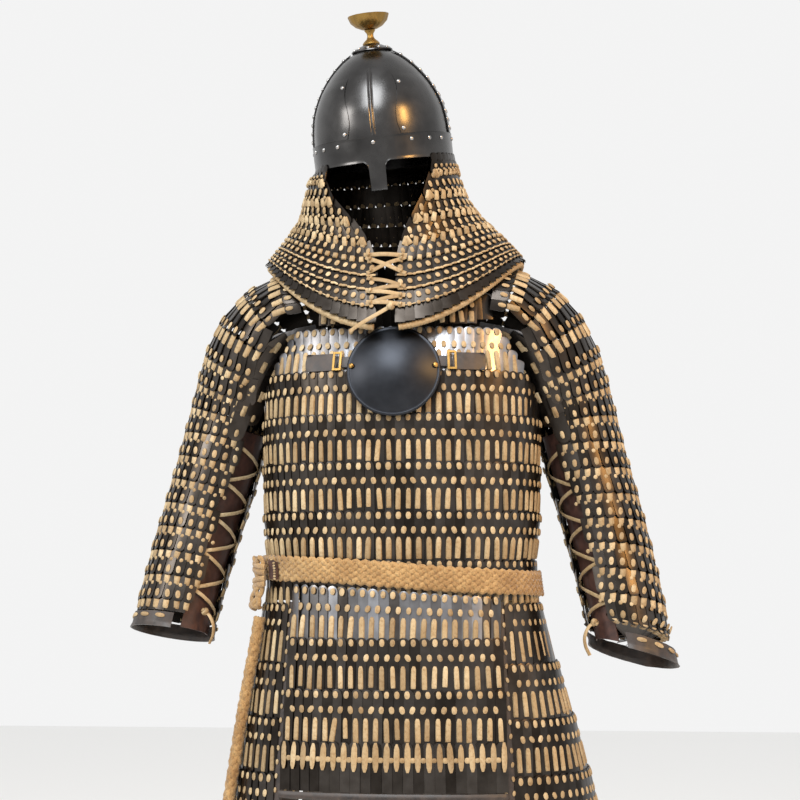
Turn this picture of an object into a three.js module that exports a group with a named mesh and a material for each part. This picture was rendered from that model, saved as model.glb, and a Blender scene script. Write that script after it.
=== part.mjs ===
// Lamellar armour as worn: a riveted helmet with a lamellar aventail, a laced cuirass with sleeves,
// a breast disc on two buckled straps, a plaited belt with a hanging tail, and a split skirt.
// Millimetres, +Z up, the front faces -Y, the wearer's left is +X.
// The origin lies at the base of the neck, level with the shoulder tops, where the wearer carries it.
import * as THREE from 'three';
import { mergeVertices } from 'three/addons/utils/BufferGeometryUtils.js';

// Driving dimensions
const WALL = 4;             // laced lamellae, two plates and the thong between them
const SEAM = 0.6;           // clearance between neighbouring pieces
const LACES = 2.6;          // how far the laces stand out from the lamellae
const CHEST_TOP = -105;     // top edge of the breast panel
const BACK_TOP = -30;       // top edge of the back panel
const WAIST = -491;         // the cuirass ends and the skirt begins
const SKIRT_HEM = -866;     // lower edge of the skirt
const BELT_Z = -455;        // height of the belt's middle at the front
const BELT_DROP = 11;       // the belt hangs this much lower on the left hip and higher on the right
const BELT_WIDTH = 38;
const BELT_THICK = 10;
const ROUNDNESS = 2.4;      // exponent of the body's section, 2 is an ellipse
const FLAP_BOTTOM = -744;   // end of the flap's lamellae, above its leather edge
const FLAP_EDGE = 12;       // depth of the flap's leather edge
const BINDING = 10;         // width of the leather binding beside the flap
const AVENTAIL_ROWS = 9;    // rows from the helmet's rim to the aventail's hem
const RIM_CORD = 4.5;       // radius of the rawhide roll on the aventail's hem
const SLEEVE_SPLIT = 128;   // where the shoulder cap ends and the sleeve begins, along the arm
const SLEEVE_END = 541;     // where the sleeve ends and the cuff begins
const CUFF_END = 566;
const HELMET_AT = [-25, -14, 157];    // centre of the helmet's rim
const HELMET_NOD = 13;      // degrees nose down
const HELMET_LEAN = -5.2;   // degrees towards the wearer's right shoulder
const HELMET_DEEP = 1.17;   // length of the helmet over its width
const PLATE = 1.8;          // thickness of the helmet's plates
const BAND_HIGH = 35;       // height of the brow band
const DISC_RADIUS = 66;
const DISC_AT = [0, -136, -172];
const DISC_LEAN = 11;       // degrees that the breast disc leans back
const STRAP_Z = -158;       // height of the straps beside the disc
const BUCKLE_X = 79.5;      // distance of each buckle from the middle

const MATERIALS = {
  lamellae: new THREE.MeshStandardMaterial({ color: 0x4a4541, roughness: 0.35, metalness: 0.9 }),
  steel: new THREE.MeshStandardMaterial({ color: 0x5f6166, roughness: 0.3, metalness: 0.95 }),
  blackened: new THREE.MeshStandardMaterial({ color: 0x2c2e31, roughness: 0.45, metalness: 0.9 }),
  brass: new THREE.MeshStandardMaterial({ color: 0xa87a30, roughness: 0.35, metalness: 0.95 }),
  rawhide: new THREE.MeshStandardMaterial({ color: 0xcdb288, roughness: 0.75, metalness: 0 }),
  leather: new THREE.MeshStandardMaterial({ color: 0x2b1c18, roughness: 0.55, metalness: 0 }),
  rope: new THREE.MeshStandardMaterial({ color: 0x9c7540, roughness: 0.85, metalness: 0 }),
};

const armour = new THREE.Group();

function add(name, material, geometry, parent = armour) {
  const mesh = new THREE.Mesh(geometry, MATERIALS[material]);
  mesh.name = name;
  parent.add(mesh);
  return mesh;
}

const radians = THREE.MathUtils.degToRad;

// count + 1 evenly spaced numbers from first to last.
function spread(first, last, count) {
  return Array.from({ length: count + 1 }, (_, i) => first + ((last - first) * i) / count);
}

// A number that runs smoothly through [at, value] keys and stays level past the ends.
function smooth(keys) {
  const slope = (i) => {
    const low = keys[Math.max(i - 1, 0)];
    const high = keys[Math.min(i + 1, keys.length - 1)];
    return (high[1] - low[1]) / (high[0] - low[0]);
  };
  return (at) => {
    const rising = keys[0][0] < keys[keys.length - 1][0] ? 1 : -1;
    if ((at - keys[0][0]) * rising <= 0) return keys[0][1];
    const i = keys.findIndex((key) => (key[0] - at) * rising >= 0);
    if (i < 0) return keys[keys.length - 1][1];
    const [a, b] = [keys[i - 1], keys[i]];
    const span = b[0] - a[0];
    const t = (at - a[0]) / span;
    return (
      a[1] * (1 + 2 * t) * (1 - t) ** 2 + slope(i - 1) * span * t * (1 - t) ** 2
      + b[1] * t * t * (3 - 2 * t) - slope(i) * span * t * t * (1 - t)
    );
  };
}

// base(u, v) gives a surface; the result gives the same surface moved out along its normal.
function movable(base, side = 1) {
  const step = 1e-3;
  return (u, v, out = 0) => {
    const along = base(u + step, v).sub(base(u - step, v));
    const down = base(u, v + step).sub(base(u, v - step));
    return base(u, v).addScaledVector(down.cross(along).normalize(), side * out);
  };
}

// A closed wall over a grid: at(column, row, out) gives its points, from out = outer to out = inner.
// A ring closes on itself, and its last column is the one before the first.
function wall({ across, down, at, outer = 0, inner = -WALL, ring = false }) {
  const [wide, high] = [across.length, down.length];
  const positions = [];
  for (const out of [outer, inner]) {
    for (const row of down) {
      for (const column of across) positions.push(...at(column, row, out).toArray());
    }
  }
  const vertex = (layer, j, i) => (layer * high + j) * wide + (i % wide);
  const faces = [];
  const quad = (a, b, c, d) => faces.push(a, b, c, a, c, d);
  const last = ring ? wide : wide - 1;
  for (let j = 0; j + 1 < high; j += 1) {
    for (let i = 0; i < last; i += 1) {
      quad(vertex(0, j, i), vertex(0, j + 1, i), vertex(0, j + 1, i + 1), vertex(0, j, i + 1));
      quad(vertex(1, j, i), vertex(1, j, i + 1), vertex(1, j + 1, i + 1), vertex(1, j + 1, i));
    }
    if (!ring) {
      quad(vertex(0, j, 0), vertex(1, j, 0), vertex(1, j + 1, 0), vertex(0, j + 1, 0));
      quad(vertex(0, j, last), vertex(0, j + 1, last), vertex(1, j + 1, last), vertex(1, j, last));
    }
  }
  for (let i = 0; i < last; i += 1) {
    quad(vertex(0, 0, i), vertex(0, 0, i + 1), vertex(1, 0, i + 1), vertex(1, 0, i));
    quad(vertex(0, high - 1, i), vertex(1, high - 1, i), vertex(1, high - 1, i + 1), vertex(0, high - 1, i + 1));
  }
  return facingOut(positions, faces);
}

// A geometry from points and triangles, turned so that its faces point out.
function facingOut(positions, faces) {
  const corner = (k) => new THREE.Vector3().fromArray(positions, faces[k] * 3);
  let volume = 0;
  for (let k = 0; k < faces.length; k += 3) volume += corner(k).dot(corner(k + 1).cross(corner(k + 2)));
  const geometry = new THREE.BufferGeometry();
  geometry.setAttribute('position', new THREE.Float32BufferAttribute(positions, 3));
  geometry.setIndex(volume > 0 ? faces : faces.reverse());
  return geometry;
}

// A three.js geometry with its shared corners merged into one closed body.
function closed(geometry) {
  geometry.deleteAttribute('normal');
  geometry.deleteAttribute('uv');
  const merged = mergeVertices(geometry, 1e-4);
  return facingOut(Array.from(merged.attributes.position.array), Array.from(merged.index.array));
}

// A round cord of the given radius through points.
function cord(points, radius, steps, sides = 8) {
  const section = new THREE.Shape();
  for (let k = 0; k < sides; k += 1) {
    const turn = (2 * Math.PI * k) / sides;
    section[k ? 'lineTo' : 'moveTo'](radius * Math.cos(turn), radius * Math.sin(turn));
  }
  const path = new THREE.CatmullRomCurve3(points);
  return closed(new THREE.ExtrudeGeometry(section, { steps, extrudePath: path, bevelEnabled: false }));
}

// A flat thong along points, each with the direction that its flat side faces.
function thong(points, facings, width, thick) {
  const across = points.map((_, i) => {
    const ahead = points[Math.min(i + 1, points.length - 1)].clone().sub(points[Math.max(i - 1, 0)]);
    return ahead.cross(facings[i]).normalize();
  });
  return wall({
    across: [-width / 2, width / 2],
    down: points.map((_, i) => i),
    at: (w, i, out) => points[i].clone().addScaledVector(across[i], w).addScaledVector(facings[i], out),
    outer: thick,
    inner: 0,
  });
}

// Body: the section is measured round from the front, 90 degrees being the wearer's left.
const halfWidthLeft = smooth([[-30, 165], [-100, 187], [-160, 198], [-230, 201], [-350, 199], [-400, 198], [-440, 190],
  [-470, 190], [-500, 199], [-551, 212], [-634, 238], [-762, 273], [-866, 298]]);
const halfWidthRight = smooth([[-30, 165], [-100, 187], [-160, 198], [-230, 201], [-350, 199], [-400, 198], [-440, 190],
  [-470, 190], [-500, 198], [-551, 207], [-634, 222], [-762, 242], [-866, 258]]);
const frontDepth = smooth([[-30, 78], [-112, 108], [-172, 126], [-240, 134], [-350, 135], [-400, 133],
  [-455, 127], [-491, 130], [-560, 137], [-650, 147], [-756, 157], [-866, 166]]);
const backDepth = smooth([[-20, 88], [-100, 112], [-200, 121], [-300, 114], [-400, 104], [-455, 102], [-491, 108],
  [-600, 134], [-756, 160], [-866, 172]]);

function bodyBase(turn, z) {
  const [s, c] = [Math.sin(radians(turn)), Math.cos(radians(turn))];
  const wide = s > 0 ? halfWidthLeft(z) : halfWidthRight(z);
  const deep = c > 0 ? frontDepth(z) : backDepth(z);
  return new THREE.Vector3(
    wide * Math.sign(s) * Math.abs(s) ** (2 / ROUNDNESS),
    -deep * Math.sign(c) * Math.abs(c) ** (2 / ROUNDNESS),
    z,
  );
}
const body = movable((turn, z) => bodyBase(turn, z), -1);

// The angle at which the body's section reaches x, up to 90 degrees.
function turnAt(x, z) {
  const wide = x > 0 ? halfWidthLeft(z) : halfWidthRight(z);
  const share = Math.min(Math.abs(x) / wide, 1);
  return Math.sign(x) * THREE.MathUtils.radToDeg(Math.asin(share ** (ROUNDNESS / 2)));
}

// Breast and back panels, cut away at the armholes.
const breastArmhole = smooth([[-105, 147], [-125, 160], [-165, 186], [-200, 197], [-226, 202]]);
const backArmhole = smooth([[-30, 112], [-110, 138], [-180, 156], [-250, 182], [-300, 202]]);
const breastTurn = (z) => Math.min(turnAt(breastArmhole(z), z), 89.8);
const backTurn = (z) => Math.min(turnAt(backArmhole(z), z), 89.8);
add('cuirass_front', 'lamellae', wall({
  across: spread(-1, 1, 24),
  down: [CHEST_TOP, -120, -140, -165, -190, -226, -310, -400, -445, WAIST],
  at: (share, z, out) => body(share * breastTurn(z), z, out),
}));
add('cuirass_back', 'lamellae', wall({
  across: spread(-1, 1, 24),
  down: [BACK_TOP, -70, -112, -165, -210, -250, -300, -380, -445, WAIST],
  at: (share, z, out) => body(180 + share * backTurn(z), z, out),
}));

// Shoulder straps, arched over each shoulder from the breast panel to the back panel.
function shoulderStrap(side) {
  const surface = movable((x, share) => {
    const front = body(turnAt(side * x, CHEST_TOP), CHEST_TOP).y;
    const back = body(180 - turnAt(side * x, BACK_TOP), BACK_TOP).y;
    const rise = 72 - 0.3 * (x - 62);
    return new THREE.Vector3(
      side * x,
      (front + back) / 2 + ((front - back) / 2) * Math.cos(Math.PI * share),
      THREE.MathUtils.lerp(CHEST_TOP, BACK_TOP, share) + SEAM + rise * Math.sin(Math.PI * share) ** 0.8,
    );
  }, -side);
  return wall({
    across: [62, 88, 112],
    down: spread(0.004, 0.996, 12),
    at: (x, share, out) => surface(x, share, out),
  });
}
add('shoulder_strap_left', 'lamellae', shoulderStrap(1));
add('shoulder_strap_right', 'lamellae', shoulderStrap(-1));

// Arm: a curved axis from the shoulder to the wrist, with an oval section round it.
// The right sleeve is pushed up the arm a little, and each arm is carried out from the body.
const upperArm = [[128, 10, -66], [158, 12, -72], [190, 14, -93], [222, 20, -142], [252, 32, -213]];
const forearm = [[272, 30, -290], [294, 25, -370], [313, 13, -450], [329, -3, -532], [334, -9, -560]];
const armAxis = new THREE.CatmullRomCurve3([...upperArm, ...forearm].map((p) => new THREE.Vector3(...p)));
armAxis.arcLengthDivisions = 400;
const armLength = armAxis.getLength();
const reach = { left: 1.02, right: 0.965 };
const carried = { left: 0.99, right: 1.025 };
// Degrees by which the rows slant down towards the outside of the arm.
const slants = {
  left: smooth([[100, 0], [206, 6], [350, 13], [480, 17], [566, 24]]),
  right: smooth([[100, 0], [566, 3]]),
};
const armOut = smooth([[0, 66], [31, 68], [69, 72], [128, 71], [206, 61], [286, 59], [453, 57], [566, 56]]);
const armFront = smooth([[0, 100], [31, 100], [69, 88], [128, 76], [206, 64], [286, 62], [453, 58], [566, 57]]);
const armBack = smooth([[0, 92], [31, 90], [69, 82], [128, 73], [206, 64], [286, 62], [453, 58], [566, 57]]);
// The sleeve is open under the arm, from the first angle in front to the second behind.
const seamFront = smooth([[0, 102], [31, 106], [69, 103], [128, 110], [206, 124], [286, 126], [566, 126]]);
const seamBack = smooth([[0, 98], [69, 104], [128, 116], [206, 152], [286, 184], [566, 186]]);

function arm(side, reached, aside, slant) {
  return movable((turn, at) => {
    const [c, s] = [Math.cos(radians(turn)), Math.sin(radians(turn))];
    const slid = at * reached + armOut(at) * c * Math.tan(radians(slant(at)));
    const share = THREE.MathUtils.clamp(slid / armLength, 0, 1);
    const ahead = armAxis.getTangentAt(share);
    const outward = ahead.clone().cross(new THREE.Vector3(0, 1, 0)).normalize();
    const forward = ahead.clone().cross(outward);
    const deep = s > 0 ? armFront(at) : armBack(at);
    const p = armAxis.getPointAt(share)
      .addScaledVector(ahead, slid - share * armLength)
      .addScaledVector(outward, armOut(at) * c)
      .addScaledVector(forward, deep * s);
    p.x *= side * aside;
    return p;
  }, -side);
}
const arms = {
  left: arm(1, reach.left, carried.left, slants.left),
  right: arm(-1, reach.right, carried.right, slants.right),
};
const roundSleeve = (share, at) => -seamBack(at) + share * (seamFront(at) + seamBack(at));

for (const [name, surface] of Object.entries(arms)) {
  add(`shoulder_cap_${name}`, 'lamellae', wall({
    across: spread(0, 1, 16),
    down: spread(0, SLEEVE_SPLIT, 5),
    at: (share, at, out) => surface(roundSleeve(share, at), at, out),
  }));
  add(`sleeve_${name}`, 'lamellae', wall({
    across: spread(0, 1, 18),
    down: [SLEEVE_SPLIT + SEAM, 165, 206, 245, 286, 350, 415, 480, SLEEVE_END],
    at: (share, at, out) => surface(roundSleeve(share, at), at, out),
  }));
  add(`cuff_${name}`, 'leather', wall({
    across: spread(0, 1, 18),
    down: [SLEEVE_END + SEAM, (SLEEVE_END + CUFF_END) / 2, CUFF_END],
    at: (share, at, out) => surface(roundSleeve(share, at), at, out),
    outer: 3,
    inner: -3,
  }));
  // Leather strip under the laced opening, from above the elbow to the wrist.
  add(`sleeve_gusset_${name}`, 'leather', wall({
    across: spread(112, 190, 4),
    down: spread(236, CUFF_END - 4, 7),
    at: (turn, at, out) => surface(turn, at, out),
    outer: -7,
    inner: -9,
  }));
  // The thong zigzags between the two edges of the opening, following the arm round.
  const edges = spread(262, SLEEVE_END - 12, 9).map((at, i) => [i % 2 ? 116 : 182, at]);
  const places = edges.slice(1).flatMap(([turn, at], i) => [0, 1, 2].map((k) => [
    THREE.MathUtils.lerp(edges[i][0], turn, k / 3),
    THREE.MathUtils.lerp(edges[i][1], at, k / 3),
  ]));
  add(`sleeve_lace_${name}`, 'rawhide', thong(
    places.map(([turn, at]) => surface(turn, at, LACES)),
    places.map(([turn, at]) => surface(turn, at, 1).sub(surface(turn, at, 0))),
    5,
    1.6,
  ));
}

// Free ends of the sleeve laces, hanging from their knots at the wrists.
function laceEnd(side, surface) {
  const knot = surface(140, SLEEVE_END - 10, 4);
  const fall = [[0, 0, 0], [-9, -7, -6], [-15, -9, -19], [-14, -6, -33], [-8, -2, -46]];
  return cord(fall.map(([x, y, z]) => knot.clone().add(new THREE.Vector3(side * x, y, z))), 2.5, 10);
}
add('sleeve_lace_end_left', 'rawhide', laceEnd(1, arms.left));
add('sleeve_lace_end_right', 'rawhide', laceEnd(-1, arms.right));

// Aventail: rows are counted down from the helmet's rim, 0, to the hem.
const aventailSide = smooth([[0, 104], [1, 108], [2, 117], [3, 129], [4, 145], [5, 158], [6, 169], [7, 178],
  [8, 184], [9, 189]]);
const aventailFront = smooth([[0, 119], [1, 112], [2, 107], [3, 104], [4, 105], [5, 112], [6, 124], [7, 135],
  [8, 143], [9, 147]]);
const aventailBack = smooth([[0, 119], [1, 117], [2, 116], [3, 117], [4, 122], [5, 130], [6, 139], [7, 147],
  [8, 153], [9, 157]]);
const sideHeight = smooth([[0, 150], [1, 135], [2, 102], [3, 76], [4, 58], [5, 44], [6, 32], [7, 22], [8, 14],
  [9, 8]]);
const frontHeight = smooth([[0, 124], [1, 104], [2, 74], [3, 45], [4, 15], [5, -13], [6, -37], [7, -59],
  [8, -83], [9, -106]]);
const backHeight = smooth([[0, 177], [1, 157], [2, 124], [3, 92], [4, 62], [5, 34], [6, 8], [7, -16], [8, -40],
  [9, -62]]);
const aventailAside = smooth([[0, -25], [1.5, -27], [2.5, -22], [4, -15], [6, -11], [9, -10]]);
const aventailAhead = smooth([[0, -14], [2, -10], [4, -2], [6, 0]]);
// Half the face opening, in degrees, closing to the laced slit under the chin.
const faceOpening = smooth([[0, 47], [1, 43], [2, 32], [3, 18], [4, 9], [5, 5.4], [6, 4.8], [9, 4.2]]);

const aventail = movable((turn, row) => {
  const [s, c] = [Math.sin(radians(turn)), Math.cos(radians(turn))];
  const deep = c > 0 ? aventailFront(row) : aventailBack(row);
  const high = c > 0 ? frontHeight(row) : backHeight(row);
  const level = Math.abs(c) ** (1 + Math.min(row / 3, 1));
  const x = aventailSide(row) * s;
  const lean = Math.tan(radians(-HELMET_LEAN)) * Math.max(1 - row / 4, 0);
  return new THREE.Vector3(
    aventailAside(row) + x,
    aventailAhead(row) - deep * c,
    sideHeight(row) + (high - sideHeight(row)) * level + x * lean,
  );
}, -1);
const sides = { left: 1, right: -1 };
for (const [name, side] of Object.entries(sides)) {
  const edge = (row) => faceOpening(row);
  add(`aventail_${name}`, 'lamellae', wall({
    across: spread(0, 1, 16),
    down: spread(0, AVENTAIL_ROWS, 9),
    at: (share, row, out) => aventail(side * (edge(row) + share * (179.8 - edge(row))), row, out),
  }));
  add(`aventail_rim_${name}`, 'rawhide', cord(
    spread(5.4, 178.6, 20).map((turn) => aventail(side * turn, AVENTAIL_ROWS, -2)
      .add(new THREE.Vector3(0, 0, -RIM_CORD - 2))),
    RIM_CORD,
    36,
  ));
}
// The slit under the chin is laced shut, and one end of the thong hangs over the hem.
const laceRows = spread(4.2, 7.8, 6);
add('aventail_lace', 'rawhide', thong(
  laceRows.map((row, i) => aventail(i % 2 ? 7.5 : -7.5, row, 0.8)),
  laceRows.map((row, i) => aventail(i % 2 ? 7.5 : -7.5, row, 1).sub(aventail(i % 2 ? 7.5 : -7.5, row, 0))),
  6,
  1.6,
));
add('aventail_lace_end', 'rawhide', cord(
  [[-2, -156, -84], [-14, -160, -92], [-30, -160, -101], [-46, -158, -110], [-60, -154, -119]]
    .map((p) => new THREE.Vector3(...p)),
  2.8,
  8,
));

// Helmet, in its own frame: the rim lies at z = 0 round the axis.
const helmet = new THREE.Group();
helmet.position.set(...HELMET_AT);
helmet.rotation.set(radians(HELMET_NOD), radians(HELMET_LEAN), 0);
armour.add(helmet);
const skullRadius = smooth([[-40, 101], [0, 101], [35, 101], [58, 99.5], [82, 95], [108, 84], [130, 69.5],
  [149, 52], [160, 38], [168, 24], [172, 10]]);
const skull = movable((turn, z) => new THREE.Vector3(
  skullRadius(z) * Math.sin(radians(turn)),
  -HELMET_DEEP * skullRadius(z) * Math.cos(radians(turn)),
  z,
), -1);
const skullRows = [3, 30, 58, 82, 100, 116, 130, 141, 151, 160, 167];
for (const [name, middle] of [['front', 0], ['back', 180]]) {
  add(`helmet_skull_${name}`, 'steel', wall({
    across: spread(middle - 86, middle + 86, 16),
    down: skullRows,
    at: (turn, z, out) => skull(turn, z, out),
    inner: -PLATE,
  }), helmet);
}
// Side bands cover the seam between the halves, from each ear to the cap.
for (const [name, side] of Object.entries(sides)) {
  add(`helmet_side_band_${name}`, 'steel', wall({
    across: [-17, 0, 17],
    down: [37, 58, 82, 100, 116, 130, 141, 151, 158, 163],
    at: (y, z, out) => {
      const turn = 90 + THREE.MathUtils.radToDeg(Math.asin(y / (HELMET_DEEP * skullRadius(z))));
      return skull(side * turn, z, out);
    },
    outer: 2.4,
    inner: 0.8,
  }), helmet);
}
// Brow band with its nasal: one plate whose lower edge drops over the nose.
const nasalDepth = 41;
const nasalTurn = THREE.MathUtils.radToDeg(Math.asin(13 / 101));
const browTurns = [-nasalTurn - 1, -nasalTurn, 0, nasalTurn, nasalTurn + 1, ...spread(20, 340, 28)];
add('helmet_brow_band', 'steel', wall({
  across: browTurns,
  down: [0, 0.5, 1],
  at: (turn, share, out) => {
    const low = Math.abs(turn) <= nasalTurn ? -nasalDepth : 0;
    return skull(turn, BAND_HIGH + (low - BAND_HIGH) * share, out);
  },
  outer: PLATE + 1.2,
  inner: 1.2,
  ring: true,
}), helmet);
// Cap over the crown, then the stem and the fluted cup that held a plume.
const capProfile = [[28, 167.5], [20, 171.5], [10, 174.5], [0.001, 175.5]];
const capPoints = [
  ...capProfile.map(([r, z]) => new THREE.Vector2(r + (r > 1 ? 2.2 : 0), z + 2.6)),
  ...capProfile.map(([r, z]) => new THREE.Vector2(r + (r > 1 ? 1 : 0), z + 0.9)).reverse(),
];
capPoints[3].x = 0;
capPoints[4].x = 0;
function turned(points, segments) {
  const geometry = new THREE.LatheGeometry(points, segments);
  geometry.rotateX(Math.PI / 2);
  return geometry;
}
const capShape = turned([...capPoints, capPoints[0]], 24);
capShape.scale(1, HELMET_DEEP, 1);
add('helmet_cap', 'steel', closed(capShape), helmet);
const stemPoints = [[0, 178.8], [13, 178.8], [13, 180], [7, 185], [5, 190], [6, 197], [9, 200], [0, 200]];
add('finial_stem', 'brass', closed(turned(stemPoints.map((p) => new THREE.Vector2(...p)), 16)), helmet);
const cupPoints = [[0, 200.4], [8, 200.6], [18, 204], [26, 210], [30.5, 218], [31, 222], [29, 222], [28.5, 218],
  [24, 211.5], [16, 206], [0, 203]];
add('finial_cup', 'brass', closed(turned(cupPoints.map((p) => new THREE.Vector2(...p)), 20)), helmet);

// Breast disc, domed, with a turned edge; its axis is the geometry's Y.
const disc = new THREE.Group();
disc.position.set(...DISC_AT);
disc.rotation.x = Math.PI - radians(DISC_LEAN);
armour.add(disc);
const domeHeight = (r) => 20 * (1 - (r / DISC_RADIUS) ** 2);
const discRings = [0, 20, 38, 52, 62, DISC_RADIUS];
const discPoints = [
  ...discRings.map((r) => new THREE.Vector2(r, domeHeight(r) + 1)),
  new THREE.Vector2(DISC_RADIUS + 1.5, -0.5),
  ...discRings.map((r) => new THREE.Vector2(r, domeHeight(r) - 1)).reverse(),
];
const discShape = new THREE.LatheGeometry(discPoints, 32);
add('breast_disc', 'blackened', closed(discShape), disc);
for (const [name, side] of Object.entries(sides)) {
  // Dome-headed brass rivet near the disc's edge.
  const rivet = new THREE.LatheGeometry(
    [[0, 0], [4, 0], [3.6, 1.6], [2, 2.8], [0, 3.2]].map((p) => new THREE.Vector2(...p)),
    10,
  );
  const mesh = add(`disc_rivet_${name}`, 'brass', closed(rivet), disc);
  mesh.position.set(side * 59, domeHeight(59) + 1.9, -6);
  mesh.rotation.z = -side * Math.atan((2 * 20 * 59) / DISC_RADIUS ** 2);
  // Strap from under the disc, then the buckle, then the leather tab on the breast panel.
  const patch = (from, to, low, high, outer, inner) => wall({
    across: spread(from, to, 3),
    down: [high, low],
    at: (x, z, out) => body(turnAt(side * x, z), z, out),
    outer,
    inner,
  });
  add(`disc_strap_${name}`, 'leather', patch(58, 79, STRAP_Z - 9, STRAP_Z + 9, 5.4, 3), armour);
  add(`disc_tab_${name}`, 'leather', patch(80, 125, STRAP_Z - 14, STRAP_Z + 14, 6, 3), armour);
  add(`disc_buckle_${name}`, 'brass', buckle(side), armour);
}

// A rectangular frame lying over the strap's end, with an open middle.
function buckle(side) {
  const loop = [[73, -14], [86, -14], [86, 14], [73, 14]];
  const shape = new THREE.Shape();
  const hole = new THREE.Path();
  loop.forEach(([x, z], i) => {
    const inset = [x + (x > BUCKLE_X ? -3 : 3), z + (z > 0 ? -3 : 3)];
    shape[i ? 'lineTo' : 'moveTo'](x - BUCKLE_X, z);
    hole[i ? 'lineTo' : 'moveTo'](inset[0] - BUCKLE_X, inset[1]);
  });
  shape.holes.push(hole);
  const frame = closed(new THREE.ExtrudeGeometry(shape, { depth: 2.4, bevelEnabled: false }));
  const turn = turnAt(side * BUCKLE_X, STRAP_Z);
  const facing = body(turn, STRAP_Z, 1).sub(body(turn, STRAP_Z, 0));
  const upward = new THREE.Vector3(0, 0, 1).addScaledVector(facing, -facing.z).normalize();
  const sideways = upward.clone().cross(facing);
  const place = new THREE.Matrix4().makeBasis(sideways, upward, facing);
  place.setPosition(body(turn, STRAP_Z, 6.8));
  return frame.applyMatrix4(place);
}

// Belt: a flat plait round the waist, its leather-bound eye, the loop drawn through it and the tail.
const beltZ = (turn) => BELT_Z - BELT_DROP * Math.sin(radians(turn));
add('belt', 'rope', wall({
  across: spread(0, 352.5, 47),
  down: [0.5, -0.5],
  at: (turn, share, out) => body(turn, beltZ(turn) + share * BELT_WIDTH, out),
  outer: LACES + BELT_THICK,
  inner: LACES,
  ring: true,
}));
add('belt_eye', 'leather', wall({
  across: [-60, -52.5],
  down: spread(0.42, -0.42, 2),
  at: (turn, share, out) => body(turn, beltZ(turn) + share * BELT_WIDTH, out),
  outer: LACES + BELT_THICK + 5,
  inner: LACES + BELT_THICK + 2.4,
}));
add('belt_loop', 'rope', wall({
  across: [-82.5, -75, -67.5, -61],
  down: spread(BELT_Z + 30, BELT_Z - 52, 4),
  at: (turn, z, out) => body(turn, z, out),
  outer: LACES + BELT_THICK + 13,
  inner: LACES + BELT_THICK + 3,
}));
const tailRadius = 9;
const tailTurn = -66;
const tailPath = spread(BELT_Z - 62, -826, 8).map((z) => body(tailTurn, z, LACES + tailRadius + 1));
add('belt_tail', 'rope', cord(tailPath, tailRadius, 30));
const tassel = closed(turned([[0, -866], [15, -866], [12, -846], [8, -827], [0, -827]]
  .map((p) => new THREE.Vector2(...p)), 12));
const tasselAt = body(tailTurn, -866, LACES + 17);
add('belt_tassel', 'rope', tassel.translate(tasselAt.x, tasselAt.y, 0));

// Skirt: two side panels with bound front edges, a back panel, and the flap in front of the opening.
const flapHalf = smooth([[-475, 137], [-756, 153], [-866, 159]]);
const skirtRows = [WAIST - SEAM, -540, -600, -660, -720, -790, SKIRT_HEM];
for (const [name, side] of Object.entries(sides)) {
  const front = (z) => turnAt(side * (flapHalf(z) + BINDING + 2), z);
  add(`skirt_${name}`, 'lamellae', wall({
    across: spread(0, 1, 12),
    down: skirtRows,
    at: (share, z, out) => body(front(z) + share * (side * 139.6 - front(z)), z, out),
  }));
  add(`skirt_binding_${name}`, 'leather', wall({
    across: [1.2, 1.2 + BINDING],
    down: skirtRows,
    at: (past, z, out) => body(turnAt(side * (flapHalf(z) + past), z), z, out),
    outer: 1.5,
  }));
}
add('skirt_back', 'lamellae', wall({
  across: spread(140, 220, 12),
  down: skirtRows,
  at: (turn, z, out) => body(turn, z, out),
}));
const flapTop = (turn) => beltZ(turn) - BELT_WIDTH / 2 - 1.4;
const flapAt = (share, z, out) => body(turnAt(share * flapHalf(z), z), z, out);
add('skirt_flap', 'lamellae', wall({
  across: spread(-1, 1, 12),
  down: spread(0, 1, 5),
  at: (share, fall, out) => {
    const top = flapTop(turnAt(share * flapHalf(-475), -475));
    return flapAt(share, top + fall * (FLAP_BOTTOM - top), out);
  },
  outer: 4 + WALL,
  inner: 4,
}));
add('skirt_flap_edge', 'leather', wall({
  across: spread(-1, 1, 12),
  down: [FLAP_BOTTOM - SEAM, FLAP_BOTTOM - FLAP_EDGE],
  at: flapAt,
  outer: 4 + WALL,
  inner: 4,
}));

export default armour;
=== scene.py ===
# A suit of lamellar armour as worn, dressed piece by piece in the order that a maker puts it together.
# Sizes are in millimetres, +Z up, the front facing -Y, and every finished mesh is written in metres.
import math

import bpy
import numpy as np
from mathutils import Matrix, Vector
from mathutils.bvhtree import BVHTree


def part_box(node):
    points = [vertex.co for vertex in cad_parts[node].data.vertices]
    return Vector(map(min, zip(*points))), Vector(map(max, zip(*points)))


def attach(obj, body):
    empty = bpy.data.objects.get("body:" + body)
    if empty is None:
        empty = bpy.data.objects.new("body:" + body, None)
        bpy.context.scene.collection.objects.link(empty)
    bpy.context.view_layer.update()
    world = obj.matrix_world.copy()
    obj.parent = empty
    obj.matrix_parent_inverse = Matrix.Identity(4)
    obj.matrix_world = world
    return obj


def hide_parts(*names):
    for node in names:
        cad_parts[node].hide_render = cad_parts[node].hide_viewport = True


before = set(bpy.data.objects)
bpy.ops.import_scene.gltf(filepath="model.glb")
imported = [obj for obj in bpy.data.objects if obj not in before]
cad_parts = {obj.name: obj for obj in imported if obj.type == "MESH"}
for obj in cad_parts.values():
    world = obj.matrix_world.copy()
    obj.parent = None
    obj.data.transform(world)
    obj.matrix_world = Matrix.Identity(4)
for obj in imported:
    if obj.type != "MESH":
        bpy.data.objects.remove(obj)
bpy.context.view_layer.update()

chance = np.random.default_rng(11)

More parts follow.
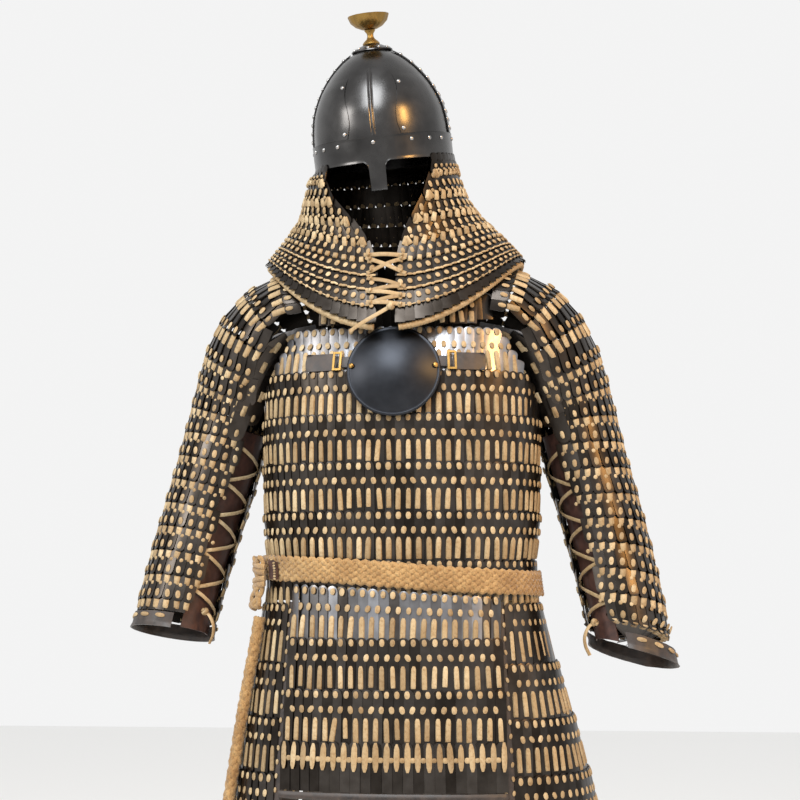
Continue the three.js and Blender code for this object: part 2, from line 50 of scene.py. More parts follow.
# ---------------------------------------------------------------------------------------------
# Camera: it stands a little to the wearer's left of straight ahead, at waist height, tipped up.
CAMERA_AT = (0.1917, -2.1916, -0.463)
CAMERA_TURN = math.radians(5.08)
CAMERA_TIP = math.radians(6.9)
CAMERA_LENS = 67.3
camera_data = bpy.data.cameras.new("camera")
camera_data.lens = CAMERA_LENS
camera = bpy.data.objects.new("camera", camera_data)
bpy.context.scene.collection.objects.link(camera)
camera.location = CAMERA_AT
aim = Vector((-math.sin(CAMERA_TURN) * math.cos(CAMERA_TIP), math.cos(CAMERA_TURN) * math.cos(CAMERA_TIP),
              math.sin(CAMERA_TIP)))
camera.rotation_mode = "QUATERNION"
camera.rotation_quaternion = aim.to_track_quat("-Z", "Y")
bpy.context.scene.camera = camera


# ---------------------------------------------------------------------------------------------
# The belt's hanging tail: eight tan yarns plaited round, drawn through the belt's loop and left to
# hang over the right hip to below the skirt's rows, where it ends in a bound tassel.
class Pile:
    """Many small shapes gathered into one mesh, each with a tone of its own for the finish."""

    def __init__(self):
        self.points, self.corners, self.counts, self.tones, self.total = [], [], [], [], 0

    def add(self, shape, tone=None):
        points, faces = shape
        points = np.asarray(points, float)
        self.points.append(points)
        self.counts.append(np.array([len(face) for face in faces]))
        self.corners.append(np.concatenate([np.asarray(face) for face in faces]) + self.total)
        self.tones.append(np.full(len(points), chance.random() if tone is None else tone))
        self.total += len(points)

    def gather(self, other):
        """Everything in another pile."""
        self.points += other.points
        self.corners += [corners + self.total for corners in other.corners]
        self.counts += other.counts
        self.tones += other.tones
        self.total += other.total

    def add_copies(self, shape, seats, swing=0.0, lean=0.0, size=1.0, longer=1.0, tone=None):
        """A copy of the shape at each seat: x along the row, y down it, z out."""
        points, faces = shape
        at, along, down, out = seats
        number = len(at)
        turn = np.broadcast_to(np.asarray(swing, float), number)[:, None]
        roll = np.broadcast_to(np.asarray(lean, float), number)[:, None]
        big = np.broadcast_to(np.asarray(size, float), number)[:, None]
        long = np.broadcast_to(np.asarray(longer, float), number)[:, None]
        x_way = along * np.cos(turn) + down * np.sin(turn)
        y_way = down * np.cos(turn) - along * np.sin(turn)
        x_way, z_way = x_way * np.cos(roll) + out * np.sin(roll), out * np.cos(roll) - x_way * np.sin(roll)
        local = np.asarray(points, float)
        placed = at[:, None] + (
            local[None, :, 0:1] * (x_way * big)[:, None]
            + local[None, :, 1:2] * (y_way * big * long)[:, None]
            + local[None, :, 2:3] * (z_way * big)[:, None])
        corners = np.concatenate([np.asarray(face) for face in faces])
        starts = self.total + np.arange(number) * len(local)
        self.points.append(placed.reshape(-1, 3))
        self.corners.append((corners[None] + starts[:, None]).ravel())
        self.counts.append(np.tile([len(face) for face in faces], number))
        tones = chance.random(number) if tone is None else np.broadcast_to(tone, number)
        self.tones.append(np.repeat(tones, len(local)))
        self.total += number * len(local)

    def piece(self, name, material, sharp=40):
        """The gathered mesh as an object on the root body, smooth but for edges sharper than given."""
        points = np.concatenate(self.points) / 1000
        corners = np.concatenate(self.corners).astype(np.int32)
        counts = np.concatenate(self.counts).astype(np.int32)
        mesh = bpy.data.meshes.new(name)
        mesh.vertices.add(len(points))
        mesh.vertices.foreach_set("co", points.astype(np.float32).ravel())
        mesh.loops.add(len(corners))
        mesh.loops.foreach_set("vertex_index", corners)
        mesh.polygons.add(len(counts))
        mesh.polygons.foreach_set("loop_start", np.concatenate([[0], np.cumsum(counts)[:-1]]).astype(np.int32))
        mesh.polygons.foreach_set("use_smooth", np.ones(len(counts), bool))
        mesh.update(calc_edges=True)
        mesh.attributes.new("tone", "FLOAT", "POINT").data.foreach_set(
            "value", np.concatenate(self.tones).astype(np.float32))
        mesh.validate()
        mesh.set_sharp_from_angle(angle=math.radians(sharp))
        mesh.materials.append(material)
        made = bpy.data.objects.new(name, mesh)
        bpy.context.scene.collection.objects.link(made)
        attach(made, "root")
        return made


def loft(rings, cyclic=False):
    """A closed shape through rings of equal counts of points, its ends capped unless it closes on itself."""
    rings = np.asarray(rings, float)
    number, around = rings.shape[:2]
    faces = []
    for j in range(number if cyclic else number - 1):
        for i in range(around):
            a, b = j * around, ((j + 1) % number) * around
            faces.append((a + i, a + (i + 1) % around, b + (i + 1) % around, b + i))
    if not cyclic:
        faces.append(tuple(range(around))[::-1])
        faces.append(tuple((number - 1) * around + i for i in range(around)))
    return outward(rings.reshape(-1, 3), faces)


def outward(points, faces):
    """The shape with its faces turned to point out."""
    volume = 0.0
    for face in faces:
        for i in range(1, len(face) - 1):
            volume += np.dot(points[face[0]], np.cross(points[face[i]], points[face[i + 1]]))
    return points, faces if volume > 0 else [face[::-1] for face in faces]


def curve_through(points, number):
    """That number of even points on a smooth curve through the given points."""
    points = np.asarray(points, float)
    padded = np.vstack([2 * points[0] - points[1], points, 2 * points[-1] - points[-2]])
    fine = []
    for i in range(len(points) - 1):
        a, b, c, d = padded[i:i + 4]
        for t in np.linspace(0, 1, 24, endpoint=False):
            fine.append(0.5 * (2 * b + (c - a) * t + (2 * a - 5 * b + 4 * c - d) * t * t
                               + (3 * b - a - 3 * c + d) * t ** 3))
    return even(np.array([*fine, points[-1]]), number)


def even(line, number):
    """The line again with that number of evenly spaced points."""
    gone = np.concatenate([[0], np.cumsum(np.linalg.norm(np.diff(line, axis=0), axis=1))])
    at = np.linspace(0, gone[-1], number)
    return np.stack([np.interp(at, gone, line[:, k]) for k in range(3)], axis=1)


def unit(rows):
    return rows / np.maximum(np.linalg.norm(rows, axis=-1, keepdims=True), 1e-9)


def strand(line, facing, wide, thick, sides=8):
    """A yarn or thong along a line, oval across: wide along the surface and thick along its facing."""
    ahead = unit(np.gradient(line, axis=0))
    side = unit(np.cross(facing, ahead))
    out = unit(np.cross(ahead, side))
    turns = np.arange(sides) * 2 * math.pi / sides
    rings = (line[:, None] + side[:, None] * np.cos(turns)[None, :, None] * wide / 2
             + out[:, None] * np.sin(turns)[None, :, None] * thick / 2)
    return loft(rings)


def shader(name, metallic=0.0, **sockets):
    """A new material, its principled shader and a function that adds a node to it."""
    material = bpy.data.materials.new(name)
    material.use_nodes = True
    tree = material.node_tree
    principled = tree.nodes["Principled BSDF"]
    principled.inputs["Metallic"].default_value = metallic
    for socket, value in sockets.items():
        principled.inputs[socket.replace("_", " ")].default_value = value

    def node(kind, **settings):
        made = tree.nodes.new("ShaderNode" + kind)
        for key, value in settings.items():
            if key in made.inputs:
                made.inputs[key].default_value = value
            else:
                setattr(made, key, value)
        return made

    return material, principled, node, tree.links.new


def grain(node, link, scale, detail=4.0, stretch=(1, 1, 1)):
    """Noise in the object's own place, stretched along an axis for brushing or fibres."""
    place = node("TexCoord")
    mapping = node("Mapping")
    mapping.inputs["Scale"].default_value = stretch
    noise = node("TexNoise", Scale=scale, Detail=detail)
    link(place.outputs["Object"], mapping.inputs["Vector"])
    link(mapping.outputs["Vector"], noise.inputs["Vector"])
    return noise


def ramp(node, link, source, stops):
    """Colours or greys along a value, from (place, colour) stops."""
    made = node("ValToRGB")
    elements = made.color_ramp.elements
    while len(elements) < len(stops):
        elements.new(0.5)
    for element, (place, colour) in zip(elements, stops):
        element.position = place
        element.color = (*colour, 1) if hasattr(colour, "__len__") else (colour, colour, colour, 1)
    link(source, made.inputs["Fac"])
    return made


def mixed(node, link, share, first, second, blend="MIX"):
    """Two colours mixed by a share, which is a number or an output."""
    made = node("Mix", data_type="RGBA", blend_type=blend)
    for place, value in ((0, share), (6, first), (7, second)):
        if isinstance(value, bpy.types.NodeSocket):
            link(value, made.inputs[place])
        else:
            made.inputs[place].default_value = value
    return made.outputs[2]


def roughen(node, link, principled, source, low, high):
    """Gloss that varies with a value between two roughnesses."""
    spread = node("MapRange")
    spread.inputs["To Min"].default_value = low
    spread.inputs["To Max"].default_value = high
    link(source, spread.inputs["Value"])
    link(spread.outputs["Result"], principled.inputs["Roughness"])


def emboss(node, link, principled, source, height_mm, strength=1.0):
    """Relief of that height from a value."""
    bump = node("Bump", Strength=strength, Distance=height_mm / 1000)
    link(source, bump.inputs["Height"])
    link(bump.outputs["Normal"], principled.inputs["Normal"])


def yarn_finish():
    """Golden tan wool yarn, darker between its fibres and faded on the crowns."""
    material, principled, node, link = shader("plaited_yarn", Sheen_Weight=0.25)
    fibres = grain(node, link, 420, 6)
    patches = grain(node, link, 28, 3)
    tone = node("Attribute", attribute_name="tone")
    yarn = ramp(node, link, fibres.outputs["Fac"], [(0.3, (0.25, 0.145, 0.055)), (0.5, (0.40, 0.25, 0.10)),
                                                   (0.75, (0.50, 0.33, 0.145))])
    faded = ramp(node, link, patches.outputs["Fac"], [(0.35, (0.72, 0.66, 0.58)), (0.7, (1.0, 1.0, 1.0))])
    each = ramp(node, link, tone.outputs["Fac"], [(0.0, (0.82, 0.78, 0.72)), (1.0, (1.0, 1.0, 1.0))])
    base = mixed(node, link, 1.0, yarn.outputs["Color"], faded.outputs["Color"], "MULTIPLY")
    link(mixed(node, link, 1.0, base, each.outputs["Color"], "MULTIPLY"), principled.inputs["Base Color"])
    roughen(node, link, principled, fibres.outputs["Fac"], 0.7, 0.95)
    emboss(node, link, principled, fibres.outputs["Fac"], 0.7)
    return material


plaited_yarn = yarn_finish()
TAIL_WIDE = 18
TAIL_YARNS = 4
TAIL_LAY = 62


def round_plait(line, wide, yarns, lay, yarn_wide, yarn_thick):
    """Yarns that wind both ways round a line, each over and under the ones that it crosses."""
    pile = Pile()
    line = even(line, int(np.linalg.norm(np.diff(line, axis=0), axis=1).sum() / 3.2))
    gone = np.concatenate([[0], np.cumsum(np.linalg.norm(np.diff(line, axis=0), axis=1))])
    ahead = unit(np.gradient(line, axis=0))
    side = unit(np.cross(ahead, [0, 1, 0]))
    other = np.cross(ahead, side)
    for way in (1, -1):
        for k in range(yarns):
            turn = way * (2 * math.pi * gone / lay) + 2 * math.pi * k / yarns
            crossing = way * np.cos(2 * yarns * math.pi * gone / lay + (math.pi if k % 2 else 0))
            out = side * np.cos(turn)[:, None] + other * np.sin(turn)[:, None]
            away = wide / 2 - yarn_thick / 2 - 0.6 + 0.9 * crossing
            pile.add(strand(line + out * away[:, None], out, yarn_wide, yarn_thick, 8))
    return pile


# The tail's route over the right hip, from under the belt's loop to the tassel.
TAIL_ROUTE = [(-197.3, -69, -515), (-203.4, -70.8, -553.5), (-210, -72.9, -592.1), (-216.4, -75, -630.9),
              (-222.2, -76.9, -669.6), (-227.8, -78.6, -708.3), (-233.2, -80.3, -747), (-238.8, -81.9, -785.6),
              (-244.3, -83.4, -824.2)]
tail_line = curve_through(TAIL_ROUTE, 60)
tail = round_plait(tail_line, TAIL_WIDE, TAIL_YARNS, TAIL_LAY, 8.6, 5.2).piece("hanging_tail", plaited_yarn, 60)
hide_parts("belt_tail")

# The tassel: the plait's loose ends, whipped at the top and fanned out below.
tassel_low, tassel_high = (np.array(corner) * 1000 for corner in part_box("belt_tassel"))
tassel_middle = (tassel_low + tassel_high) / 2
tassel_pile = Pile()
STRANDS_OF_TASSEL = 44
for k in range(STRANDS_OF_TASSEL):
    turn = k * 2.39996
    share = math.sqrt((k + 0.5) / STRANDS_OF_TASSEL)
    way = np.array([math.cos(turn), math.sin(turn), 0])
    top = np.array([tassel_middle[0], tassel_middle[1], tassel_high[2] - 1]) + way * 5.5 * share
    middle = np.array([tassel_middle[0], tassel_middle[1], tassel_middle[2]]) + way * 9.5 * share
    foot = np.array([tassel_middle[0], tassel_middle[1], tassel_low[2] + 2 + 5 * chance.random()]) + way * 12.5 * share
    line = curve_through([top, middle, foot], 7)
    tassel_pile.add(strand(line, np.tile(way, (7, 1)), 3.2, 3.2, 6))
for k in range(5):
    turns = np.linspace(0, 2 * math.pi, 17)[:-1]
    ring = np.stack([np.cos(turns), np.sin(turns), 0 * turns], axis=1)
    middle = np.array([tassel_middle[0], tassel_middle[1], tassel_high[2] - 3 - 2.6 * k])
    around = np.arange(6) * 2 * math.pi / 6
    rings = [[middle + way * (7.4 + 1.5 * math.cos(a)) + np.array([0, 0, 1.5 * math.sin(a)]) for a in around]
             for way in ring]
    tassel_pile.add(loft(rings, cyclic=True))
tassel = tassel_pile.piece("tail_tassel", plaited_yarn, 60)
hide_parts("belt_tassel")


# ---------------------------------------------------------------------------------------------
# Free ends of the thongs: flat strips of rawhide cut 5 to 6 wide. One hangs from the knot that
# closes the aventail at the throat, and one from the knot at each wrist.
def rawhide_finish():
    """Dry rawhide: cream and tan, paler where the thong is rubbed, browned where it dips."""
    material, principled, node, link = shader("rawhide_thong", Specular_IOR_Level=0.35)
    fibres = grain(node, link, 260, 5)
    patches = grain(node, link, 35, 3)
    tone = node("Attribute", attribute_name="tone")
    each = ramp(node, link, tone.outputs["Fac"], [(0.0, (0.27, 0.19, 0.10)), (0.35, (0.35, 0.255, 0.14)),
                                                 (0.75, (0.42, 0.315, 0.18)), (1.0, (0.49, 0.385, 0.235))])
    worn = ramp(node, link, fibres.outputs["Fac"], [(0.3, (0.66, 0.58, 0.48)), (0.52, (1.0, 1.0, 1.0))])
    soiled = ramp(node, link, patches.outputs["Fac"], [(0.32, (0.74, 0.66, 0.55)), (0.62, (1.0, 1.0, 1.0))])
    base = mixed(node, link, 0.75, each.outputs["Color"], worn.outputs["Color"], "MULTIPLY")
    link(mixed(node, link, 0.8, base, soiled.outputs["Color"], "MULTIPLY"), principled.inputs["Base Color"])
    roughen(node, link, principled, fibres.outputs["Fac"], 0.5, 0.8)
    emboss(node, link, principled, fibres.outputs["Fac"], 0.35)
    return material


rawhide_thong = rawhide_finish()
THROAT_END = [(-2, -156, -84), (-14, -160, -92), (-30, -160, -101), (-46, -158, -110), (-60, -154, -119)]
LEFT_WRIST_END = [(277.1, -39.1, -521), (268.1, -46.1, -527), (262.1, -48.1, -540), (263.1, -45.1, -554),
                  (269.1, -41.1, -567)]
RIGHT_WRIST_END = [(-284.3, -36.3, -506.9), (-275.3, -43.3, -512.9), (-269.3, -45.3, -525.9),
                   (-270.3, -42.3, -539.9), (-276.3, -38.3, -552.9)]


def knot(middle, facing, size):
    """An overhand knot of flat thong: three short turns over one another."""
    pile = Pile()
    facing = unit(np.asarray(facing, float)[None])[0]
    side = unit(np.cross(facing, [0.2, 0.1, 1.0])[None])[0]
    up = np.cross(side, facing)
    for k, (tilt, lift) in enumerate(((0.5, 0.0), (-0.9, 0.22), (1.7, 0.4))):
        turns = np.linspace(0, 2 * math.pi, 13)[:-1]
        along, across = side * math.cos(tilt) + up * math.sin(tilt), up * math.cos(tilt) - side * math.sin(tilt)
        rings = []
        for turn in turns:
            way = along * math.cos(turn) * 0.5 + facing * math.sin(turn) * 0.42
            centre = middle + facing * lift * size + way * size
            rings.append([centre + across * size * 0.3 * a + unit(way[None])[0] * size * 0.12 * b
                          for a, b in ((-1, 0), (-0.6, 1), (0.6, 1), (1, 0), (0.6, -1), (-0.6, -1))])
        pile.add(loft(rings, cyclic=True))
    return pile


for name, node_name, route, wide, facing in (
        ("throat_thong_end", "aventail_lace_end", THROAT_END, 5.6, (0, -1, 0.1)),
        ("left_wrist_thong_end", "sleeve_lace_end_left", LEFT_WRIST_END, 5.0, (-0.5, -0.8, 0)),
        ("right_wrist_thong_end", "sleeve_lace_end_right", RIGHT_WRIST_END, 5.0, (0.5, -0.8, 0))):
    line = curve_through(route, 24)
    pile = Pile()
    twist = np.linspace(0, 0.9, 24)[:, None]
    flat_side = unit(np.tile(facing, (24, 1)) + twist * np.array([0.35, 0.2, 0.3]))
    pile.add(strand(line, flat_side, wide, 1.8, 8), 0.6)
    end = pile.piece(name, rawhide_thong, 60)
    tied = knot(line[0], facing, 9.0).piece(name.replace("end", "knot"), rawhide_thong, 50)
    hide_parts(node_name)
    long = float(np.linalg.norm(np.diff(line, axis=0), axis=1).sum()) / 1000


# ---------------------------------------------------------------------------------------------
# Cuirass: breast and back, each six rows of punched steel lamellae about 17 by 76, every lamella
# lapping over its neighbour, and every row over the foot of the row above. Rawhide thong binds each
# lamella twice near its top and hangs the next row by the long vertical lace at its foot.
LAMELLA_PITCH = 13.8
LAMELLA_WIDE = 16.4
LAMELLA_LONG = 76
CUIRASS_ROWS = [105.5, 168, 230.5, 298, 366, 433]
CUIRASS_FOOT = 491


class Panel:
    """The outer face of a laced panel: levels run down it, and each level is measured along in mm.
    look(tree, level, turn) finds the face, and core(level) gives points inside the wearer."""

    def __init__(self, nodes, levels, turns, look, core, middle, ease=12):
        points, faces = [], []
        for name in nodes:
            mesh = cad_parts[name].data
            start = len(points)
            points.extend(vertex.co * 1000 for vertex in mesh.vertices)
            faces.extend([start + corner for corner in face.vertices] for face in mesh.polygons)
        tree = BVHTree.FromPolygons(points, faces)
        self.core = core
        found, rows, lengths, zeros = [], [], [], []
        for level in levels:
            runs = [[]]
            for turn in turns:
                place = look(tree, level, turn)
                if place is None:
                    runs.append([])
                else:
                    runs[-1].append((turn, *place))
            hits = np.array(max(runs, key=len))
            if len(hits) < 4:
                continue
            found.append(level)
            gone = np.concatenate([[0], np.cumsum(np.linalg.norm(np.diff(hits[:, 1:], axis=0), axis=1))])
            rows.append(even(hits[:, 1:], 140))
            lengths.append(gone[-1])
            zeros.append(np.interp(middle, hits[:, 0], gone))
        self.levels, self.lengths, self.zeros = np.array(found, float), np.array(lengths), np.array(zeros)
        self.places = self.softened(np.array(rows), 2)
        self.eased = self.softened(np.array(rows), ease)

    @staticmethod
    def softened(grid, times):
        """The grid with its facets rounded off and its border kept."""
        grid = grid.copy()
        for _ in range(times):
            grid[:, 1:-1] = (grid[:, :-2] + 2 * grid[:, 1:-1] + grid[:, 2:]) / 4
        for _ in range(max(times // 4, 1)):
            grid[1:-1] = (grid[:-2] + 2 * grid[1:-1] + grid[2:]) / 4
        return grid

    def span(self, level):
        """How far the panel reaches to either side of its middle at a level."""
        zero = np.interp(level, self.levels, self.zeros)
        return -zero, np.interp(level, self.levels, self.lengths) - zero

    def find(self, grid, level, along):
        level = np.broadcast_to(np.asarray(level, float), np.shape(along))
        low, high = self.span(level)
        down = np.interp(level, self.levels, np.arange(len(self.levels)))
        across = np.clip((along - low) / (high - low), 0, 1) * (grid.shape[1] - 1)
        j, i = np.minimum(down.astype(int), len(grid) - 2), np.minimum(across.astype(int), grid.shape[1] - 2)
        v, u = (down - j)[:, None], (across - i)[:, None]
        return ((grid[j, i] * (1 - u) + grid[j, i + 1] * u) * (1 - v)
                + (grid[j + 1, i] * (1 - u) + grid[j + 1, i + 1] * u) * v)

    def seats(self, level, along, lift=0.0):
        """Places on the face, with the directions along the row, down it and out of it."""
        along = np.asarray(along, float)
        level = np.broadcast_to(np.asarray(level, float), along.shape)
        step = (self.levels[-1] - self.levels[0]) / 60
        down = (self.find(self.eased, np.minimum(level + step, self.levels[-1]), along)
                - self.find(self.eased, np.maximum(level - step, self.levels[0]), along))
        low, high = self.span(level)
        along_way = unit(self.find(self.eased, level, np.minimum(along + 4, high))
                         - self.find(self.eased, level, np.maximum(along - 4, low)))
        place = self.find(self.places, level, along)
        out = unit(np.cross(along_way, down))
        out = np.where((out * (place - self.core(level))).sum(1, keepdims=True) < 0, -out, out)
        down = unit(down - along_way * (down * along_way).sum(1, keepdims=True))
        return place + out * lift, along_way, down, out

    def stations(self, level, pitch, shift=0.0, inset=6.0, row=None):
        """Evenly pitched places along a row, an inset away from its ends. Where a panel flares, its
        plates are counted at the level called row, and spread over the width at every other level."""
        low, high = self.span(level)
        if row is not None:
            first, last = self.span(row)
            number = round((last - first - 2 * inset) / pitch)
            share = (np.arange(number + 1) if shift % 1 == 0.5 else np.arange(number) + 0.5) / number
            return low + inset + (high - low - 2 * inset) * share
        first, last = math.ceil((low + inset) / pitch - shift), math.floor((high - inset) / pitch - shift)
        return (np.arange(first, last + 1) + shift) * pitch


def body_ray(tree, level, turn):
    """Where a level look from outside towards the wearer's middle meets the face."""
    way = Vector((math.sin(math.radians(turn)), -math.cos(math.radians(turn)), 0))
    place = tree.ray_cast(way * 600 - Vector((0, 0, level)), -way, 560)[0]
    return None if place is None else tuple(place)


def body_core(level):
    return np.stack([0 * level, 0 * level, -level], axis=1)


def lamella(wide, long, thick, crown, round_foot=False):
    """A steel plate from its rounded end, at y = 0, to its square end, slightly hollow behind."""
    half, rows = wide / 2, []
    for turn in (12, 34, 58, 90):
        s, c = math.sin(math.radians(turn)), math.cos(math.radians(turn))
        rows.append((half * (1 - c), half * s, crown * s))
    rows.append((long, half, crown))
    if round_foot:
        rows = [(long - y, x, rise) for y, x, rise in rows][::-1]
    rings = [[(-x, y, 0), (0, y, rise), (x, y, 0), (x, y, -thick), (0, y, rise - thick), (-x, y, -thick)]
             for y, x, rise in rows]
    return loft(rings)


def lace(wide, long, high, pointed=True, sink=0.03):
    """A flat thong that comes out of a hole at y = 0, lies on the plates and goes under at its foot."""
    rows = [(0, 0.3, -0.4), (1.6, 0.62, 0.55), (4.6, 0.93, 0.95), (9, 1, 1), (long - 3, 1, 1), (long, 0.92, 0.6)]
    if not pointed:
        rows = [(0, 0.8, 0.2), (0.12 * long, 1, 0.9), (0.8 * long, 1, 1), (long, 0.9, 0.4)]
    half = wide / 2
    return loft([[(-x * half, y, -0.5 - sink * y), (-0.72 * x * half, y, z * high * 0.8 - sink * y),
                  (0, y, z * high - sink * y), (0.72 * x * half, y, z * high * 0.8 - sink * y),
                  (x * half, y, -0.5 - sink * y), (0, y, -0.7 - sink * y)] for y, x, z in rows])


def stitch(wide, long, high):
    """A short turn of thong between two holes: an egg-shaped bead lying on the plate."""
    rings = []
    for y, size in ((-1.0, 0.42), (-0.62, 0.86), (0.05, 1.0), (0.7, 0.8), (1.0, 0.38)):
        turns = np.arange(7) * 2 * math.pi / 7 + 0.2
        rings.append([(wide / 2 * size * math.cos(a), y * long / 2,
                       high * 0.5 * size * math.sin(a) + high * 0.18) for a in turns])
    return loft(rings)


def steel_finish(name, dark, light, painted_reflection, rough, scale=55):
    """Oiled steel: a brown-grey skin that differs from plate to plate, with fine scratches and wear.
    Tones above 0.9 run to a pale bluish steel, a painted reflection of the light overhead.
    """
    material, principled, node, link = shader(name, metallic=1.0)
    clouds = grain(node, link, scale, 5)
    scratches = grain(node, link, 380, 4, (1, 1, 0.12))
    tone = node("Attribute", attribute_name="tone")
    # The last stop is a painted reflection: pale bluish steel for plates shown catching the overhead light.
    each = ramp(node, link, tone.outputs["Fac"], [(0.0, dark), (0.9, light), (1.0, painted_reflection)])
    worn = ramp(node, link, clouds.outputs["Fac"], [(0.3, (0.62, 0.6, 0.58)), (0.7, (1.0, 1.0, 1.0))])
    link(mixed(node, link, 0.9, each.outputs["Color"], worn.outputs["Color"], "MULTIPLY"),
         principled.inputs["Base Color"])
    uneven = mixed(node, link, 0.35, clouds.outputs["Color"], scratches.outputs["Color"])
    roughen(node, link, principled, uneven, *rough)
    emboss(node, link, principled, uneven, 0.12, 0.6)
    return material


# Its last colour, pale and bluish, is the painted reflection of the overhead light.
lamella_steel = steel_finish("lamella_steel", (0.030, 0.025, 0.021), (0.085, 0.075, 0.067), (0.40, 0.41, 0.44), (0.22, 0.42))
CUIRASS_LACE = lace(7.8, 30.5, 2.3)
CUIRASS_DOT = stitch(7.4, 9.8, 3.0)


def lay_plates(pile, panel, top, foot, pitch, shift, wide, lifts, round_foot=False, inset=6.0, lean=4.5, fan=None,
               wobble=0.03, stretch=1.0, tones=None, crown=0.9):
    """A row of plates from the level of their tops to that of their feet, each lapping its neighbour.
    Where the panel is cut away above, a plate starts as high as the panel does."""
    foot = min(foot, panel.levels[-1])
    at = panel.stations(top + 0.62 * (foot - top), pitch, shift, inset, fan)
    tries = np.linspace(top, foot, 12)
    inside = np.array([(at > panel.span(level)[0] + 3) & (at < panel.span(level)[1] - 3) for level in tries])
    tops = tries[np.argmax(inside, axis=0)]
    below = at
    if fan is not None:
        tops = np.full(len(at), top)
        at, below = panel.stations(top, pitch, shift, inset, fan), panel.stations(foot, pitch, shift, inset, fan)
    head = panel.seats(tops, at, lifts[0])
    ends = panel.seats(np.full(len(at), foot), below, lifts[1])[0]
    down = ends - head[0]
    long = np.linalg.norm(down, axis=1)
    down = down / long[:, None]
    along = unit(head[1] - down * (head[1] * down).sum(1, keepdims=True))
    out = np.cross(along, down)
    out = np.where((out * head[3]).sum(1, keepdims=True) < 0, -out, out)
    usual = float(np.median(long))
    tone = chance.random(len(at)) * 0.9
    if tones is not None:
        tone = np.clip(chance.normal(*tones, len(at)), 0, 1)
    pile.add_copies(lamella(wide, usual, 1.0, crown, round_foot), (head[0], along, down, out), longer=stretch * long / usual,
                    lean=math.radians(lean) + chance.normal(0, wobble, len(at)), swing=chance.normal(0, wobble / 5, len(at)),
                    tone=tone)


def lay_thongs(pile, panel, top, pitch, shift, parts, inset=6.0, fan=None):
    """The thongs of a row: each part is a shape, its level below the row's top, how many half pitches
    it stands aside, its lift off the panel and how much it is laid askew."""
    for shape, depth, aside, lift, askew in parts:
        edge = inset if aside == 0 or fan is not None else inset - 3
        at = panel.stations(top + depth, pitch, shift + aside / 2, edge, fan)
        number = len(at)
        seats = panel.seats(top + depth, at + chance.normal(0, 0.25, number), lift)
        pile.add_copies(shape, seats, swing=chance.normal(0, askew, number), size=chance.normal(1, 0.035, number),
                        longer=chance.normal(1, 0.03, number))


def finish_rows(name, plates, thongs, node_names):
    """A panel's plates and lacing as two pieces, in place of the panel's CAD nodes, which it hides."""
    lamellae = plates.piece(name + "_lamellae", lamella_steel, 35)
    lacing = thongs.piece(name + "_lacing", rawhide_thong, 50)
    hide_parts(*node_names)


CUIRASS_THONGS = [(CUIRASS_DOT, 7.2, 0, 4.4, 0.06), (CUIRASS_DOT, 27, 1, 3.0, 0.25),
                  (CUIRASS_LACE, 36.5, 0, 2.3, 0.03)]
cuirass_levels = np.concatenate([np.linspace(106, 250, 28), np.linspace(262, 490, 22)])
back_levels = np.concatenate([np.linspace(31, 310, 44), np.linspace(322, 490, 16)])
breast = Panel(["cuirass_front"], cuirass_levels, np.linspace(-100, 100, 260), body_ray, body_core, 0)
back = Panel(["cuirass_back"], back_levels, np.linspace(80, 280, 260), body_ray, body_core, 180)
BACK_ROWS = [31.5, 99, *CUIRASS_ROWS[1:]]
for name, node_name, panel, rows in (
        ("breast", "cuirass_front", breast, CUIRASS_ROWS), ("back", "cuirass_back", back, BACK_ROWS)):
    plates, thongs = Pile(), Pile()
    for k, top in enumerate(rows):
        reach = rows[k + 1] - top if k + 1 < len(rows) else CUIRASS_FOOT - top
        short = min(reach / 67.5, 1.0) if k + 1 < len(rows) else 1.0
        # The breast's top row takes tones near 1: the painted reflection of the light overhead.
        lay_plates(plates, panel, top, top + reach + 8, LAMELLA_PITCH, 0.5, LAMELLA_WIDE, (4.3, 0.4), inset=3,
                   tones=(0.96, 0.03) if top == 105.5 else None)
        parts = [(shape, depth * (short if depth > 30 else 1), aside, lift, askew)
                 for shape, depth, aside, lift, askew in CUIRASS_THONGS]
        lay_thongs(thongs, panel, top, LAMELLA_PITCH, 0.5, parts, 4)
    finish_rows(name, plates, thongs, [node_name])


# ---------------------------------------------------------------------------------------------
# Shoulder straps: four short rows of small lamellae laced into an arch over each shoulder, from the
# breast's top edge to the back's. The aventail lies over most of them.
STRAP_PITCH = 14
STRAP_ROWS = 7


def strap_ray(tree, level, turn):
    """The strap seen from above: level is the angle over the shoulder, turn the distance sideways."""
    over = math.radians(level)
    way = Vector((0, -math.cos(over), math.sin(over)))
    centre = Vector((turn, -8, -78))
    place = tree.ray_cast(centre + way * 190, -way, 185)[0]
    return None if place is None else tuple(place)


strap_edges = {}
for name, side in (("left", 1), ("right", -1)):
    strap = Panel([f"shoulder_strap_{name}"], np.linspace(-14, 158, 50), np.linspace(60, 114, 60) * side, strap_ray,
                  lambda level: np.stack([0 * level + 85 * side, 0 * level - 8, 0 * level - 78], axis=1), 87 * side, 8)
    plates, thongs = Pile(), Pile()
    first_level, last_level = strap.levels[0], strap.levels[-1]
    row_reach = (last_level - first_level) / STRAP_ROWS
    for k in range(STRAP_ROWS):
        top = first_level + k * row_reach
        lay_plates(plates, strap, top, top + 1.08 * row_reach, STRAP_PITCH, 0.5, 14.6, (0.6, 2.6), True, 2)
        lay_thongs(thongs, strap, top, STRAP_PITCH, 0.5, [
            (stitch(7, 9, 3.0), 0.75 * row_reach, 0, 2.6, 0.1), (lace(8, 17, 2.0, False), 0.05 * row_reach, 0, 1.5, 0.06)], 4)
    levels = np.arange(first_level + 4, last_level, 36)
    strap_edges[name] = strap.seats(levels, strap.span(levels)[1 if side > 0 else 0], -3.0)
    finish_rows(f"strap_{name}", plates, thongs, [f"shoulder_strap_{name}"])


